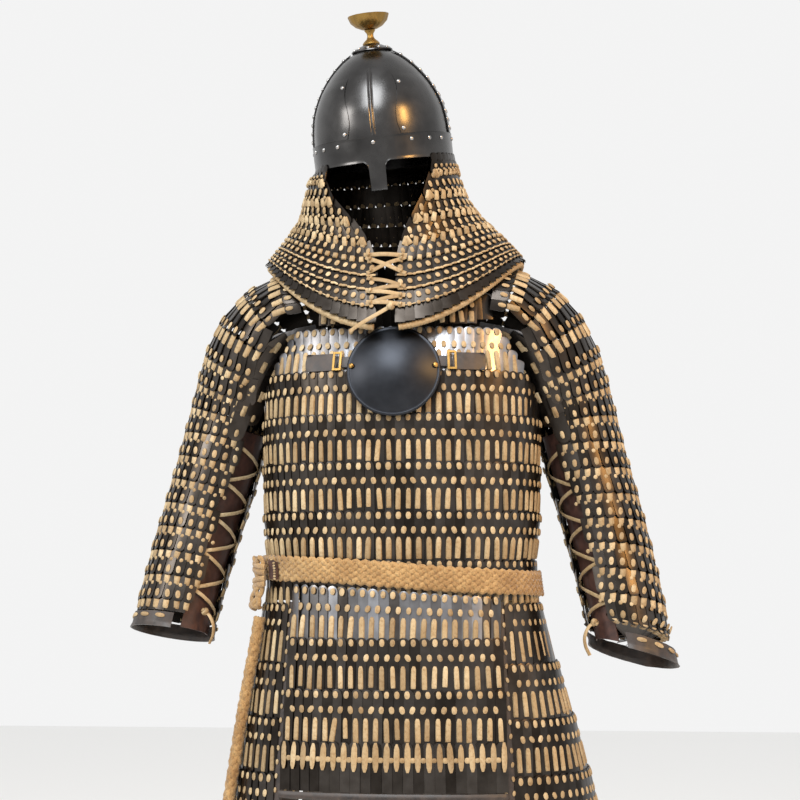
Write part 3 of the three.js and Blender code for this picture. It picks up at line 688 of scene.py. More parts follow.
# ---------------------------------------------------------------------------------------------
# Sleeves: rows of short lamellae about 17 by 46, laced one below the other so that every row's
# rounded foot lies over the next. Thongs as wide as half a lamella hang each row from the last,
# and the rows run slanting round the arm. The longer laces of the first rows let the shoulder bend.
ARM_LINE = [(128, 10, -66), (158, 12, -72), (190, 14, -93), (222, 20, -142), (252, 32, -213), (272, 30, -290),
            (294, 25, -370), (313, 13, -450), (329, -3, -532), (334, -9, -560)]
SLEEVE_PITCH = 15
SLEEVE_ROW = 38
SLEEVE_FOOT = 541
CAP_FOOT = 128
arm_line = curve_through(ARM_LINE, 500)
arm_long = float(np.linalg.norm(np.diff(arm_line, axis=0), axis=1).sum())
ARMS = {
    "left": (1, 1.02, 0.99, ((100, 206, 350, 480, 566), (0, 6, 13, 17, 24))),
    "right": (-1, 0.965, 1.025, ((100, 566), (0, 3))),
}


def arm_at(name, level, turn):
    """The arm's middle at a level, and the way out of it, turned from the outside towards the front."""
    side, reach, aside, slant = ARMS[name]
    c, s = math.cos(math.radians(turn)), math.sin(math.radians(turn))
    slid = level * reach + 64 * c * math.tan(math.radians(float(np.interp(level, *slant))))
    share = min(max(slid / arm_long, 0), 1)
    place = min(int(share * 499), 498)
    ahead = unit((arm_line[place + 1] - arm_line[place])[None])[0]
    middle = arm_line[place] + ahead * (slid - place / 499 * arm_long)
    outside = unit(np.cross(ahead, [0, 1, 0])[None])[0]
    way = outside * c + np.cross(ahead, outside) * s
    mirror = np.array([side * aside, 1, 1])
    return middle * mirror, way * mirror


def arm_look(name, nearest=False):
    def look(tree, level, turn):
        middle, way = arm_at(name, level, turn)
        start = Vector(middle + way * 150)
        place = tree.ray_cast(start, Vector(-way).normalized(), 150)[0]
        if place is None and nearest:
            place = tree.find_nearest(Vector(middle + way * 60))[0]
        return None if place is None else tuple(place)
    return look


def arm_core(name):
    return lambda level: np.array([arm_at(name, one, 90)[0] for one in level])


CAP_DOT = stitch(6.4, 11, 3.0)
CAP_LACE = lace(8.6, 21, 2.0, False)
SLEEVE_DOT = stitch(7.2, 10.6, 3.2)
SLEEVE_LACE = lace(9.2, 13, 2.4, False, 0.06)
SLEEVE_STITCH = stitch(5.6, 5.6, 2.6)
FRONT_PLATE = lamella(25, 42, 1.0, 1.2, True)
FRONT_PLATES = [(70, 152, 0), (100, 146, 0), (60, 170, 0), (95, 162, 0), (130, 148, 0), (-22, 128, 0), (-20, 146, 0), (-18, 164, 0), (10, 160, 0), (-8, 122, 0), (-6, 140, 0), (40, 154, 0), (20, 124, 0), (22, 142, 0), (52, 120, 0), (56, 138, 0), (88, 116, 0),
                (92, 132, 0), (126, 114, 0), (130, 130, 0), (164, 112, 0), (168, 126, 0), (204, 112, 0)]
arm_levels = [*np.linspace(2, 126, 18), *np.linspace(131, 540, 54)]
arm_panels = {}
for name in ARMS:
    arm = Panel([f"shoulder_cap_{name}", f"sleeve_{name}"], arm_levels, np.linspace(-188, 128, 250), arm_look(name),
                arm_core(name), 0)
    arm_panels[name] = arm
    cap_plates, cap_thongs, plates, thongs = Pile(), Pile(), Pile(), Pile()
    for k in range(14):
        top = SLEEVE_FOOT - SLEEVE_ROW * (14 - k)
        on_cap = top < CAP_FOOT - 20
        shift = 0.5 * (k % 2)
        band = 17 if on_cap else 22
        lay_plates(cap_plates if on_cap else plates, arm, max(top - 19, 2), top + band, SLEEVE_PITCH, shift, 16.4,
                   (0.4, 3.4), True, 4)
        parts = [(CAP_DOT, 9, 0, 3.1, 0.1), (CAP_LACE, 15.5, 0, 1.3, 0.05)]
        if not on_cap:
            parts = [(SLEEVE_DOT, 11.5, 0, 3.4, 0.12), (SLEEVE_LACE, 20.5, 0, 1.4, 0.06),
                     (SLEEVE_STITCH, 34.5, 1, 1.8, 0.35)]
        if k == 13:
            parts = parts[:2]
        lay_thongs(cap_thongs if on_cap else thongs, arm, top, SLEEVE_PITCH, shift, parts, 4)
    lay_plates(plates, arm, SLEEVE_FOOT - 24, SLEEVE_FOOT - 1, SLEEVE_PITCH, 0, 16, (0.4, 0.8), False, 8)
    # The cap's own edge reaches in over the strap's, in a column of plain plates.
    place, along, down, out = strap_edges[name]
    for aside in (7, 20):
        cap_plates.add_copies(lamella(16, 38, 1.0, 0.9, True), (place + along * aside * ARMS[name][0], along, down, out),
                              tone=0.3)
    # Larger, rounder plates end the first rows in front, where they reach in under the aventail's hem.
    for level, turn, swing in FRONT_PLATES:
        middle, way = arm_at(name, level, turn)
        ahead = unit((arm_at(name, level + 2, turn)[0] - middle)[None])
        seat = (middle + way * 69.5)[None], unit(np.cross(way, ahead[0])[None]) * ARMS[name][0], ahead, way[None]
        # Those at the shoulder's top take tone 0.95, half way to the painted reflection of the light overhead.
        cap_plates.add_copies(FRONT_PLATE, seat, swing=swing * ARMS[name][0], tone=0.95 if level < 30 else 0.5)
        dot = (seat[0] + ahead * 30 + way * 2.0, *seat[1:])
        cap_thongs.add_copies(CAP_DOT, dot, swing=swing * ARMS[name][0])
        foot = (seat[0] - ahead * 14, *seat[1:])
        cap_thongs.add_copies(CAP_LACE, foot, swing=swing * ARMS[name][0])
    finish_rows(f"cap_{name}", cap_plates, cap_thongs, [f"shoulder_cap_{name}"])
    finish_rows(f"sleeve_{name}", plates, thongs, [f"sleeve_{name}"])


# Cuffs, gussets and the thongs that close the sleeves. Each sleeve is split along its inner side over
# a gusset of dark red-brown leather, drawn shut by one flat thong in a zigzag. A band of near-black
# leather, stitched on with rawhide, ends it.
def leather_finish(name, dark, light, rough):
    material, principled, node, link = shader(name)
    hide = grain(node, link, 90, 6)
    pores = grain(node, link, 700, 3)
    colour = ramp(node, link, hide.outputs["Fac"], [(0.3, dark), (0.55, tuple((a + b) / 2 for a, b in zip(dark, light))),
                                                    (0.78, light)])
    link(colour.outputs["Color"], principled.inputs["Base Color"])
    roughen(node, link, principled, hide.outputs["Fac"], rough - 0.12, rough + 0.12)
    emboss(node, link, principled, pores.outputs["Fac"], 0.25, 0.5)
    return material


dark_leather = leather_finish("dark_leather", (0.012, 0.009, 0.008), (0.05, 0.034, 0.026), 0.46)
red_leather = leather_finish("red_leather", (0.022, 0.008, 0.006), (0.075, 0.030, 0.020), 0.6)


def leather(panel, levels, columns, raised, thick=2.0, wider=None):
    """A strip of leather over a panel's face. raised(level share) gives its height off the face, and
    wider(level, column) moves its edges along."""
    rings = []
    for share, level in zip(np.linspace(0, 1, len(levels)), levels):
        low, high = panel.span(level)
        place, along, down, out = panel.seats(level, low + (high - low) * columns)
        if wider is not None:
            place = place + along * wider(level, columns)[:, None]
        outer, inner = place + out * raised(share), place + out * (raised(share) - thick)
        rings.append(np.concatenate([outer, inner[::-1]]))
    return loft(rings)


for name in ARMS:
    cuff = Panel([f"cuff_{name}"], np.linspace(542.5, 565, 12), np.linspace(-180, 98, 200), arm_look(name, True),
                 arm_core(name), 0, 2)
    band, oversewing = Pile(), Pile()
    cuff_levels = cuff.levels[0] + (cuff.levels[-1] - cuff.levels[0]) * np.linspace(0, 1, 14)
    band.add(leather(cuff, cuff_levels, np.linspace(0, 1, 70), lambda share: 0.9 + 1.8 * max(share - 0.72, 0) / 0.28, 2.6))
    at = cuff.stations(cuff.levels[0] + 7, 26, 0.5)
    place, along, down, out = cuff.seats(cuff.levels[0] + 6, at, 0.8)
    oversewing.add_copies(stitch(6.4, 14, 3.4), (place - along * 7, down, along, out), swing=chance.normal(0, 0.08, len(at)))
    cuff_band = band.piece(f"cuff_band_{name}", dark_leather, 50)
    cuff_stitches = oversewing.piece(f"cuff_stitches_{name}", rawhide_thong)
    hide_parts(f"cuff_{name}")

    gusset = Panel([f"sleeve_gusset_{name}"], np.linspace(238, 560, 60), np.linspace(104, 198, 90), arm_look(name),
                   arm_core(name), 150, 6)
    inset = Pile()
    inset.add(leather(gusset, np.linspace(gusset.levels[0], gusset.levels[-1], 60), np.linspace(0, 1, 16),
                      lambda share: 0.3, 2.0))
    gusset_leather = inset.piece(f"gusset_leather_{name}", red_leather, 60)
    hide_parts(f"sleeve_gusset_{name}")

    zigzag, facing, turns = [], [], []
    legs = [(level, gusset.span(level)[k % 2] * 0.96) for k, level in enumerate(
        np.linspace(max(262, gusset.levels[0]), 529, 10))]
    for (level, along), (next_level, next_along) in zip(legs[:-1], legs[1:]):
        share = np.linspace(0, 0.94, 12)
        place, _, _, out = gusset.seats(level + (next_level - level) * share, along + (next_along - along) * share, 4.5)
        zigzag.extend(place)
        facing.extend(out)
        turns.append(gusset.seats(level, [along], 6.5))
    thong = Pile()
    thong.add(strand(np.array(zigzag), np.array(facing), 5.4, 1.7, 10))
    for place, along, down, out in turns[1:]:
        thong.add_copies(stitch(5, 7, 3), (place - out, along, down, out))
    sleeve_thong = thong.piece(f"sleeve_thong_{name}", rawhide_thong, 50)
    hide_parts(f"sleeve_lace_{name}")


# ---------------------------------------------------------------------------------------------
# Skirt: two side panels and a back panel of five long rows, laced as the cuirass is, and in front a
# flap of four rows hung from the waist. Strips of dark leather bind the side panels' front edges and
# the flap's foot, and the flap's last plates are left bare below a row of thicker laces.
SKIRT_PITCH = 14.2
SKIRT_WIDE = 16.8
SKIRT_TOPS = [494, 576, 650, 724, 798]
SKIRT_FOOT = 866
skirt_levels = np.linspace(492.5, 865.5, 64)
skirt_panels = {}
for name, turns, middle in (("left", np.linspace(25, 155, 260), 55), ("right", np.linspace(-155, -25, 260), -55),
                            ("back", np.linspace(130, 230, 200), 180)):
    panel = Panel([f"skirt_{name}"], skirt_levels, turns, body_ray, body_core, middle)
    skirt_panels[name] = panel
    plates, thongs = Pile(), Pile()
    for k, top in enumerate(SKIRT_TOPS):
        foot = SKIRT_TOPS[k + 1] + 8 if k < 4 else SKIRT_FOOT
        middle_level = (top + foot) / 2
        lay_plates(plates, panel, top, foot, SKIRT_PITCH, 0.5, SKIRT_WIDE, (4.3, 0.4), inset=5, fan=middle_level)
        long = lace(8, (42, 34.5, 34.5, 34.5, 24)[k], 2.3)
        lay_thongs(thongs, panel, top, SKIRT_PITCH, 0.5, [
            (CUIRASS_DOT, 7.2, 0, 4.4, 0.06), (CUIRASS_DOT, 27, 1, 3.0, 0.25), (long, 36.5, 0, 2.3, 0.03)], 6,
                   middle_level)
    finish_rows(f"skirt_{name}", plates, thongs, [f"skirt_{name}"])

for name, middle in (("left", 48), ("right", -48)):
    binding = Panel([f"skirt_binding_{name}"], np.linspace(492, 865.5, 90), np.linspace(middle - 30, middle + 30, 700),
                    body_ray, body_core, middle, 4)
    side = 1 if name == "left" else -1
    strip, dots = Pile(), Pile()
    strip.add(leather(binding, np.linspace(492, 865.5, 190), np.linspace(0, 1, 9), lambda share: 0.9, 2.2,
                      lambda level, column: side * 3.2 * abs(math.sin((level - 492) / 37 * math.pi)) * np.where(
                          (column > 0.5) == (side > 0), abs(column - 0.5) * 2, 0)))
    at = np.arange(505, 860, 18.5)
    low, high = binding.span(at)
    dots.add_copies(stitch(5.2, 7, 2.8), binding.seats(at, (low + high) / 2, 1.0), swing=chance.normal(0, 0.2, len(at)))
    strip_piece = strip.piece(f"binding_strip_{name}", dark_leather, 60)
    binding_stitches = dots.piece(f"binding_stitches_{name}", rawhide_thong)
    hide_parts(f"skirt_binding_{name}")

FLAP_TOPS = [476, 540, 609, 678]
FLAP_FOOT = 744.5
FLAP_LINK = 23


def flap_ray(tree, level, turn):
    """The flap's face: its first row hangs along the belt, and the rows below come level."""
    level = level + 11 * math.sin(math.radians(turn)) * min(max((540 - level) / 64, 0), 1)
    for short in (0, 4, 8, 12, 16):
        place = body_ray(tree, level + short, turn)
        if place is not None:
            return place[0], place[1], place[2] + short
    return None


flap = Panel(["skirt_flap"], np.linspace(476, 743.4, 50), np.linspace(-75, 75, 260), flap_ray, body_core, 0)
plates, thongs = Pile(), Pile()
for k, top in enumerate(FLAP_TOPS):
    foot = FLAP_TOPS[k + 1] + 8 if k < 3 else FLAP_FOOT
    middle_level = (top + foot) / 2
    # The flap's first row takes tones near 1: the painted reflection of the light overhead.
    lay_plates(plates, flap, top, foot, SKIRT_PITCH, 0.5, SKIRT_WIDE, (4.3 if k else 2, 0.4), inset=7,
               fan=middle_level, tones=(0.94, 0.03) if k == 0 else None)
    parts = [(CUIRASS_DOT, 7.2, 0, 4.4, 0.06), (CUIRASS_DOT, 27, 1, 3.0, 0.25), (lace(8, 32, 2.3), 36.5, 0, 2.3, 0.03)]
    if k == 3:
        parts = [(stitch(8.6, 37, 3.4), 19.5, 0, 3.6, 0.03), (stitch(8, 7, 3.2), FLAP_LINK, 1, 3.2, 0.1)]
    lay_thongs(thongs, flap, top, SKIRT_PITCH, 0.5, parts, 7, middle_level)
finish_rows("flap", plates, thongs, ["skirt_flap"])

flap_edge = Panel(["skirt_flap_edge"], np.linspace(744.8, 755.8, 8), np.linspace(-75, 75, 260), body_ray, body_core, 0, 2)
edging = Pile()
edging.add(leather(flap_edge, np.linspace(744.8, 755.8, 10), np.linspace(0, 1, 90),
                   lambda share: 0.8 + 1.6 * math.sin(share * math.pi), 2.6))
flap_edging = edging.piece("flap_edging", dark_leather, 60)
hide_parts("skirt_flap_edge")


# ---------------------------------------------------------------------------------------------
# Belt: a flat plait of seven golden-tan yarns, about 38 wide, drawn through a dark leather eye on the
# right of the body. Its end is looped down over itself and tied there, and hangs as the round tail.
BELT_YARNS = 7
BELT_WIDE = 37
BELT_TRAVERSE = 46
belt_low, belt_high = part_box("belt")


def belt_ray(tree, level, turn):
    """The belt's outer face: level is how far below its own middle, which drops towards the left hip."""
    return body_ray(tree, 455 + 11 * math.sin(math.radians(turn)) + level, turn)


belt = Panel(["belt"], np.linspace(-14.8, 14.8, 8), np.linspace(-180, 180, 721), belt_ray,
             lambda level: np.stack([0 * level, 0 * level, -455 - level], axis=1), 0, 3)


def plait(panel, first, last, yarns, wide, traverse, yarn_wide, yarn_thick, base):
    """Yarns that cross a band from edge to edge and pass over and under each other on the way."""
    shapes = []
    steps = int((last - first) / 3.2)
    along = np.linspace(first, last, steps)
    for k in range(yarns):
        phase = along / traverse + 2 * k / yarns
        share = phase % 2
        across = np.where(share < 1, share, 2 - share) * 2 - 1
        leg = phase % 1
        over = -np.cos(math.pi * leg * yarns)
        level = across * (wide / 2 - yarn_wide * 0.42)
        place, _, _, out = panel.seats(level, along)
        shapes.append(strand(place + out * (base + over * yarn_thick * 0.3)[:, None], out, yarn_wide, yarn_thick, 8))
    return shapes


band = Pile()
low, high = belt.span(0)
for shape in plait(belt, low, high, BELT_YARNS, BELT_WIDE, BELT_TRAVERSE, 8.6, 5.4, -3.2):
    band.add(shape)
belt_plait = band.piece("belt_plait", plaited_yarn, 60)
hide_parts("belt")

loop_turns = np.linspace(-90, -52, 160)
loop = Panel(["belt_loop"], np.linspace(428, 504, 24), loop_turns, body_ray, body_core, -70, 3)
hitch = Pile()
for k in range(5):
    levels = np.linspace(428, 504, 60)
    low, high = loop.span(levels)
    share = 0.5 + 0.36 * np.sin(levels / 15 + k * 2 * math.pi / 5)
    place, _, _, out = loop.seats(levels, low + (high - low) * share)
    over = -3.0 + 2.2 * np.cos(2 * (levels / 15 + k * 2 * math.pi / 5))
    hitch.add(strand(place + out * over[:, None], out, 9.5, 6.5, 8))
for height, tilt in ((446, 0.10), (464, -0.08)):
    low, high = loop.span(height)
    along = np.linspace(low - 1, high + 1, 24)
    arch = 3.4 * np.sqrt(np.maximum(1 - np.linspace(-1, 1, 24) ** 2, 0))
    place, _, _, out = loop.seats(height + along * tilt, along)
    for shift in (-4, 4):
        hitch.add(strand(place + out * (arch - 3)[:, None] + np.array([0, 0, shift]), out, 8.5, 6, 8))
belt_hitch = hitch.piece("belt_hitch", plaited_yarn, 60)
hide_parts("belt_loop")

eye = Panel(["belt_eye"], np.linspace(432.5, 461, 16), np.linspace(-68, -46, 200), body_ray, body_core, -57, 2)
tongue, whipping = Pile(), Pile()
tongue.add(leather(eye, np.linspace(432.5, 461, 16), np.linspace(0, 1, 12), lambda share: 0.8, 3.4))
at = np.linspace(434, 460, 8)
low, high = eye.span(at)
place, along, down, out = eye.seats(at, high - 1.5, 1.2)
whipping.add_copies(stitch(3.2, 6, 2.0), (place - along * 3, down, along, out), swing=chance.normal(0, 0.1, len(at)))
belt_tongue = tongue.piece("belt_tongue", red_leather, 60)
tongue_whipping = whipping.piece("tongue_whipping", rawhide_thong)
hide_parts("belt_eye")


# ---------------------------------------------------------------------------------------------
# Aventail: two halves of small lamellae that hang from the helmet's rim, round the face and over the
# shoulders, laced together under the chin and behind. The upper rows hang free on slanting thongs,
# the mantle's rows are linked closely, and a whipped roll of rawhide edges the hem.
AVENTAIL_PITCH = 13.5
AVENTAIL_AT = np.arange(10)
AVENTAIL_WIDE = [104, 108, 117, 129, 145, 158, 169, 178, 184, 189]
AVENTAIL_FRONT = [119, 112, 107, 104, 105, 112, 124, 135, 143, 147]
AVENTAIL_BACK = [119, 117, 116, 117, 122, 130, 139, 147, 153, 157]
SIDE_HEIGHT = [150, 135, 102, 76, 58, 44, 32, 22, 14, 8]
FRONT_HEIGHT = [124, 104, 74, 45, 15, -13, -37, -59, -83, -106]
BACK_HEIGHT = [177, 157, 124, 92, 62, 34, 8, -16, -40, -62]
FACE_OPENING = [47, 43, 32, 18, 9, 5.4, 4.8, 4.6, 4.4, 4.2]
ASIDE = ((0, 1.5, 2.5, 4, 6, 9), (-25, -27, -22, -15, -11, -10))
AHEAD = ((0, 2, 4, 6), (-14, -10, -2, 0))
HELMET_SIDEWAYS = 5.2


def aventail_at(turn, row):
    """The aventail's surface: turned from the front towards the left, rows counted down from the rim."""
    s, c = math.sin(math.radians(turn)), math.cos(math.radians(turn))
    deep, high = (AVENTAIL_FRONT, FRONT_HEIGHT) if c > 0 else (AVENTAIL_BACK, BACK_HEIGHT)
    deep, high = np.interp(row, AVENTAIL_AT, deep), np.interp(row, AVENTAIL_AT, high)
    low = np.interp(row, AVENTAIL_AT, SIDE_HEIGHT)
    x = np.interp(row, AVENTAIL_AT, AVENTAIL_WIDE) * s
    lean = math.tan(math.radians(HELMET_SIDEWAYS)) * max(1 - row / 4, 0)
    return np.array([np.interp(row, *ASIDE) + x, np.interp(row, *AHEAD) - deep * c,
                     low + (high - low) * abs(c) ** (1 + min(row / 3, 1)) + x * lean])


def aventail_look(tree, row, turn):
    if abs(turn) < np.interp(row, AVENTAIL_AT, FACE_OPENING):
        return None
    s, c = math.sin(math.radians(turn)), math.cos(math.radians(turn))
    place = tree.find_nearest(Vector(aventail_at(turn, row) + 4.5 * unit(np.array([[s, -c, 0.5]]))[0]))[0]
    return tuple(place)


def aventail_core(level):
    return np.stack([0 * level - 15, 0 * level, 0 * level - 70], axis=1)


HANGING_LACE = lace(7.8, 12, 3.0, False, 0.0)
CLOSE_LACE = lace(7.6, 8.5, 2.6, False, 0.0)
LINK = stitch(10.5, 4.6, 2.4)
FALL_DOT = stitch(6.2, 8.4, 3.0)
MANTLE_DOT = stitch(7.2, 10.2, 3.2)
aventail_panels = {}
for name, side in (("left", 1), ("right", -1)):
    turns = np.sort(side * np.concatenate([np.linspace(4.2, 20, 50), np.linspace(20.5, 179.4, 210)]))
    panel = Panel([f"aventail_{name}"], np.linspace(0.03, 8.97, 72), turns, aventail_look, aventail_core, 90 * side, 10)
    aventail_panels[name] = panel
    plates, thongs = Pile(), Pile()

    def tall(row, at):
        """How far the face runs down over one row, at each place, beside the usual 29."""
        low, high = max(row - 0.3, 0.05), min(row + 0.3, 8.95)
        across = (at - panel.span(row)[0]) / (panel.span(row)[1] - panel.span(row)[0])
        ends = [panel.find(panel.eased, level, panel.span(level)[0] + across * (panel.span(level)[1] - panel.span(level)[0]))
                for level in (low, high)]
        return np.linalg.norm(ends[1] - ends[0], axis=1) / (high - low) / 29

    def lay(shape, row, lift, aside=0.0, askew=0.08, swing=0.0, longest=1.15):
        at = panel.stations(row, AVENTAIL_PITCH, 0.5 + aside, 5, row)
        number = len(at)
        thongs.add_copies(shape, panel.seats(row, at, lift), swing=swing + chance.normal(0, askew, number),
                          size=chance.normal(1, 0.04, number), longer=np.clip(tall(row, at), 0.3, longest))
        return at

    for row in range(9):
        mantle = row >= 5
        wide = 14.4 if mantle else 14.8
        lay_plates(plates, panel, row + 0.03, min(row + 1.1, 8.97), AVENTAIL_PITCH, 0.5, wide,
                   (-0.6, 1.2) if mantle else (-1.2, 1.4), not mantle, 5, 1.6 if mantle else 3.5, row + 0.5,
                   0.008 if mantle else 0.03, 1.2 if row == 8 else 1.0, (0.2, 0.12), 0.3 if mantle else 0.9)
        if row < 8:
            lay(MANTLE_DOT if mantle else FALL_DOT, row + (0.55 if mantle else 0.53), 1.2 if mantle else 1.0,
                swing=-0.12 * side)
        if 0 < row < 5:
            at = lay(HANGING_LACE, row - 0.16, 0.9, askew=0.1, swing=0.3 * side)
            lay(stitch(5.2, 4.6, 2.6), row - 0.17, 1.8, 0.5, 0.3)
            front = at[-1 if side < 0 else 0]
            for swing in (-0.5, -0.15, 0.45):
                thongs.add_copies(HANGING_LACE, panel.seats(row - 0.2, [front], 2.2), swing=swing, size=0.72, longer=1.5)
        elif row == 5:
            lay(CLOSE_LACE, row - 0.14, 1.2, askew=0.1, swing=0.2 * side)
        elif row in (6, 7):
            lay(LINK, row + 0.04, 1.2, askew=0.12, swing=0.1 * side)
            lay(stitch(5.6, 4.6, 2.4), row + 0.08, 1.3, 0.5, 0.3)
        elif row == 8:
            lay(stitch(6.4, 7.4, 3.0), row + 0.1, 1.8, askew=0.2)
            lay(stitch(8, 2.2, 1.4), row + 0.1, 1.6, 0.5, 0.08)
    # The first row's tops are tucked up inside the helmet's rim.
    at = panel.stations(0.05, AVENTAIL_PITCH, 0.5, 5, 0.5)
    place, along, down, out = panel.seats(0.05, at, -2.2)
    plates.add_copies(lamella(15.4, 17, 1.0, 0.9), (place - down * 12, along, down, out), tone=0.1)
    finish_rows(f"aventail_{name}", plates, thongs, [f"aventail_{name}"])

RIM_WIDE = 9.2
RIM_WHIP = 4.4
for name, side in (("left", 1), ("right", -1)):
    line = even(np.array([aventail_at(side * turn, 9) - [2 * math.sin(math.radians(side * turn)),
                                                         -2 * math.cos(math.radians(turn)), 6.5]
                          for turn in np.linspace(5.4, 178.6, 160)]), 420)
    ahead = unit(np.gradient(line, axis=0))
    across = unit(np.cross(ahead, [0, 0, 1.0]))
    up = np.cross(across, ahead)
    gone = np.linspace(0, 1, 420) * np.linalg.norm(np.diff(line, axis=0), axis=1).sum()
    around = np.arange(14) * 2 * math.pi / 14
    girth = RIM_WIDE / 2 * (1 + 0.085 * np.cos(2 * math.pi * gone[:, None] / RIM_WHIP + around[None])
                            - 0.03 * np.sin(gone / 23)[:, None])
    roll = Pile()
    roll.add(loft(line[:, None] + across[:, None] * (girth * np.cos(around))[..., None]
                  + up[:, None] * (girth * np.sin(around))[..., None]), 0.6)
    rim_roll = roll.piece(f"rim_roll_{name}", rawhide_thong, 60)
    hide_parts(f"aventail_rim_{name}")


def chin_place(name, row, lift=3.2):
    """The edge of one half beside the slit under the chin."""
    panel = aventail_panels[name]
    low, high = panel.span(row)
    place, _, _, out = panel.seats(row, [low + 6 if name == "left" else high - 6], lift)
    return place[0], out[0]


chin = Pile()
CHIN_LEGS = [("right", 4.75, "left", 4.8), ("right", 5.0, "left", 5.85), ("left", 5.0, "right", 5.8),
             ("right", 6.35, "left", 6.85), ("left", 6.9, "right", 7.15), ("right", 7.2, "left", 7.45),
             ("left", 7.5, "right", 7.95), ("right", 7.9, "left", 8.05)]
for first, first_row, second, second_row in CHIN_LEGS:
    (start, out_a), (end, out_b) = chin_place(first, first_row), chin_place(second, second_row)
    share = np.linspace(-0.15, 1.15, 14)[:, None]
    chin.add(strand(start + (end - start) * share + out_a * (3.5 * np.sin(np.clip(share, 0, 1) * math.pi) - 0.4),
                    out_a * (1 - share) + out_b * share, 6.4, 1.9, 10))
    for place, out in ((start, out_a), (end, out_b)):
        chin.gather(knot(place + out * 0.6, out, 4.2))
chin.gather(knot(np.array([-4.0, -150, -84]), np.array([0, -1, 0.4]), 8.5))
chin_thong = chin.piece("chin_thong", rawhide_thong, 50)
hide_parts("aventail_lace")


# ---------------------------------------------------------------------------------------------
# Helmet: a tall skull of two raised halves with a rib down the front, bands over the joints from ear
# to ear, and a brow band whose front runs down as a nose guard. Polished steel, riveted throughout,
# with a gilt stem and a fluted cup on its cap.
HELMET_AT = np.array([-25.0, -14.0, 157.0])
HELMET_NOD = math.radians(13)
HELMET_LEAN = math.radians(-5.2)
HELMET_DEEP = 1.17
SKULL = [(101, -40), (101, 0), (101, 35), (99.5, 58), (95, 82), (84, 108), (69.5, 130), (52, 149), (38, 160),
         (24, 168), (10, 172)]
skull_line = curve_through([(radius, 0, z) for radius, z in SKULL], 400)
helmet_turned = np.array(Matrix.Rotation(HELMET_NOD, 3, "X") @ Matrix.Rotation(HELMET_LEAN, 3, "Y"))


def skull(turn, z, out=0.0):
    """A place on the skull, turned from the front towards the left, in the helmet's own directions."""
    turn, z, out = np.radians(turn), np.asarray(z, float), np.asarray(out, float)
    radius = np.interp(z, skull_line[:, 2], skull_line[:, 0])
    slope = (np.interp(z + 1, skull_line[:, 2], skull_line[:, 0]) - np.interp(z - 1, skull_line[:, 2], skull_line[:, 0])) / 2
    facing = unit(np.stack([np.sin(turn) + 0 * z, -np.cos(turn) / HELMET_DEEP + 0 * z, -slope + 0 * turn], axis=-1))
    place = np.stack([radius * np.sin(turn), -HELMET_DEEP * radius * np.cos(turn), z + 0 * turn], axis=-1)
    return place + facing * out[..., None], facing


def in_place(points):
    return np.asarray(points) @ helmet_turned.T + HELMET_AT


def plate_wall(turns, heights, outer, inner, ring=False):
    """A plate over the skull between two offsets. heights gives the z of each row at each turn."""
    turns = np.asarray(turns, float)
    grid = np.broadcast_to(turns, heights.shape)
    layers = [in_place(skull(grid, heights, np.broadcast_to(out, heights.shape))[0]) for out in (outer, inner)]
    rings = np.concatenate([layers[0], layers[1][::-1]], axis=0).transpose(1, 0, 2)
    return loft(rings, ring)


def steel_plate(name, base, low, high, brushed):
    material, principled, node, link = shader(name, 1.0)
    cloud = grain(node, link, 26, 5)
    fine = grain(node, link, 420, 3, brushed)
    colour = ramp(node, link, cloud.outputs["Fac"], [(0.3, tuple(0.7 * value for value in base)), (0.55, base),
                                                     (0.8, tuple(1.35 * value for value in base))])
    link(colour.outputs["Color"], principled.inputs["Base Color"])
    roughen(node, link, principled, cloud.outputs["Fac"], low, high)
    emboss(node, link, principled, fine.outputs["Fac"], 0.06, 0.35)
    return material


helmet_steel = steel_plate("helmet_steel", (0.066, 0.064, 0.063), 0.17, 0.36, (1, 1, 4))
rivet_steel = steel_plate("rivet_steel", (0.36, 0.35, 0.34), 0.2, 0.35, (1, 1, 1))
FRONT_COLUMNS = np.concatenate([np.linspace(-86, -4.6, 34), np.linspace(-4, 4, 41), np.linspace(4.6, 86, 34)])
skull_rows = np.linspace(3, 167, 46)
for name, middle in (("front", 0), ("back", 180)):
    columns = FRONT_COLUMNS
    heights = np.repeat(skull_rows[:, None], len(columns), 1)
    aside = np.radians(columns)[None] * np.interp(skull_rows, skull_line[:, 2], skull_line[:, 0])[:, None] * 1.17
    fade = np.interp(skull_rows, [34, 44, 128, 140], [0, 1, 1, 0])[:, None] * (1 if name == "front" else 0)
    rib = fade * (1.0 * np.exp(-(aside / 1.7) ** 2) - 0.8 * np.exp(-((np.abs(aside) - 3.2) / 0.9) ** 2))
    half = Pile()
    half.add(plate_wall(columns + middle, heights, rib, rib - 1.8))
    skull_half = half.piece(f"skull_{name}", helmet_steel, 40)
    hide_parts(f"helmet_skull_{name}")


def rivets(places, wide):
    """Domed rivet heads on the helmet, each given by its turn, height and lift."""
    pile = Pile()
    for turn, z, lift in places:
        place, facing = skull(np.array([float(turn)]), np.array([float(z)]), np.array([float(lift)]))
        out = facing @ helmet_turned.T
        along = unit(np.cross(out, [0.1, 0.2, 1.0]))
        pile.add_copies(dome(wide), (in_place(place), along, np.cross(out, along), out))
    return pile


def dome(wide):
    """A round rivet head lying on z = 0."""
    around = np.arange(16) * 2 * math.pi / 16
    rings = [[(math.cos(a) * wide / 2 * r, math.sin(a) * wide / 2 * r, wide * z) for a in around]
             for r, z in ((1, -0.1), (1, 0.04), (0.88, 0.18), (0.6, 0.29), (0.25, 0.34))]
    return loft(rings)


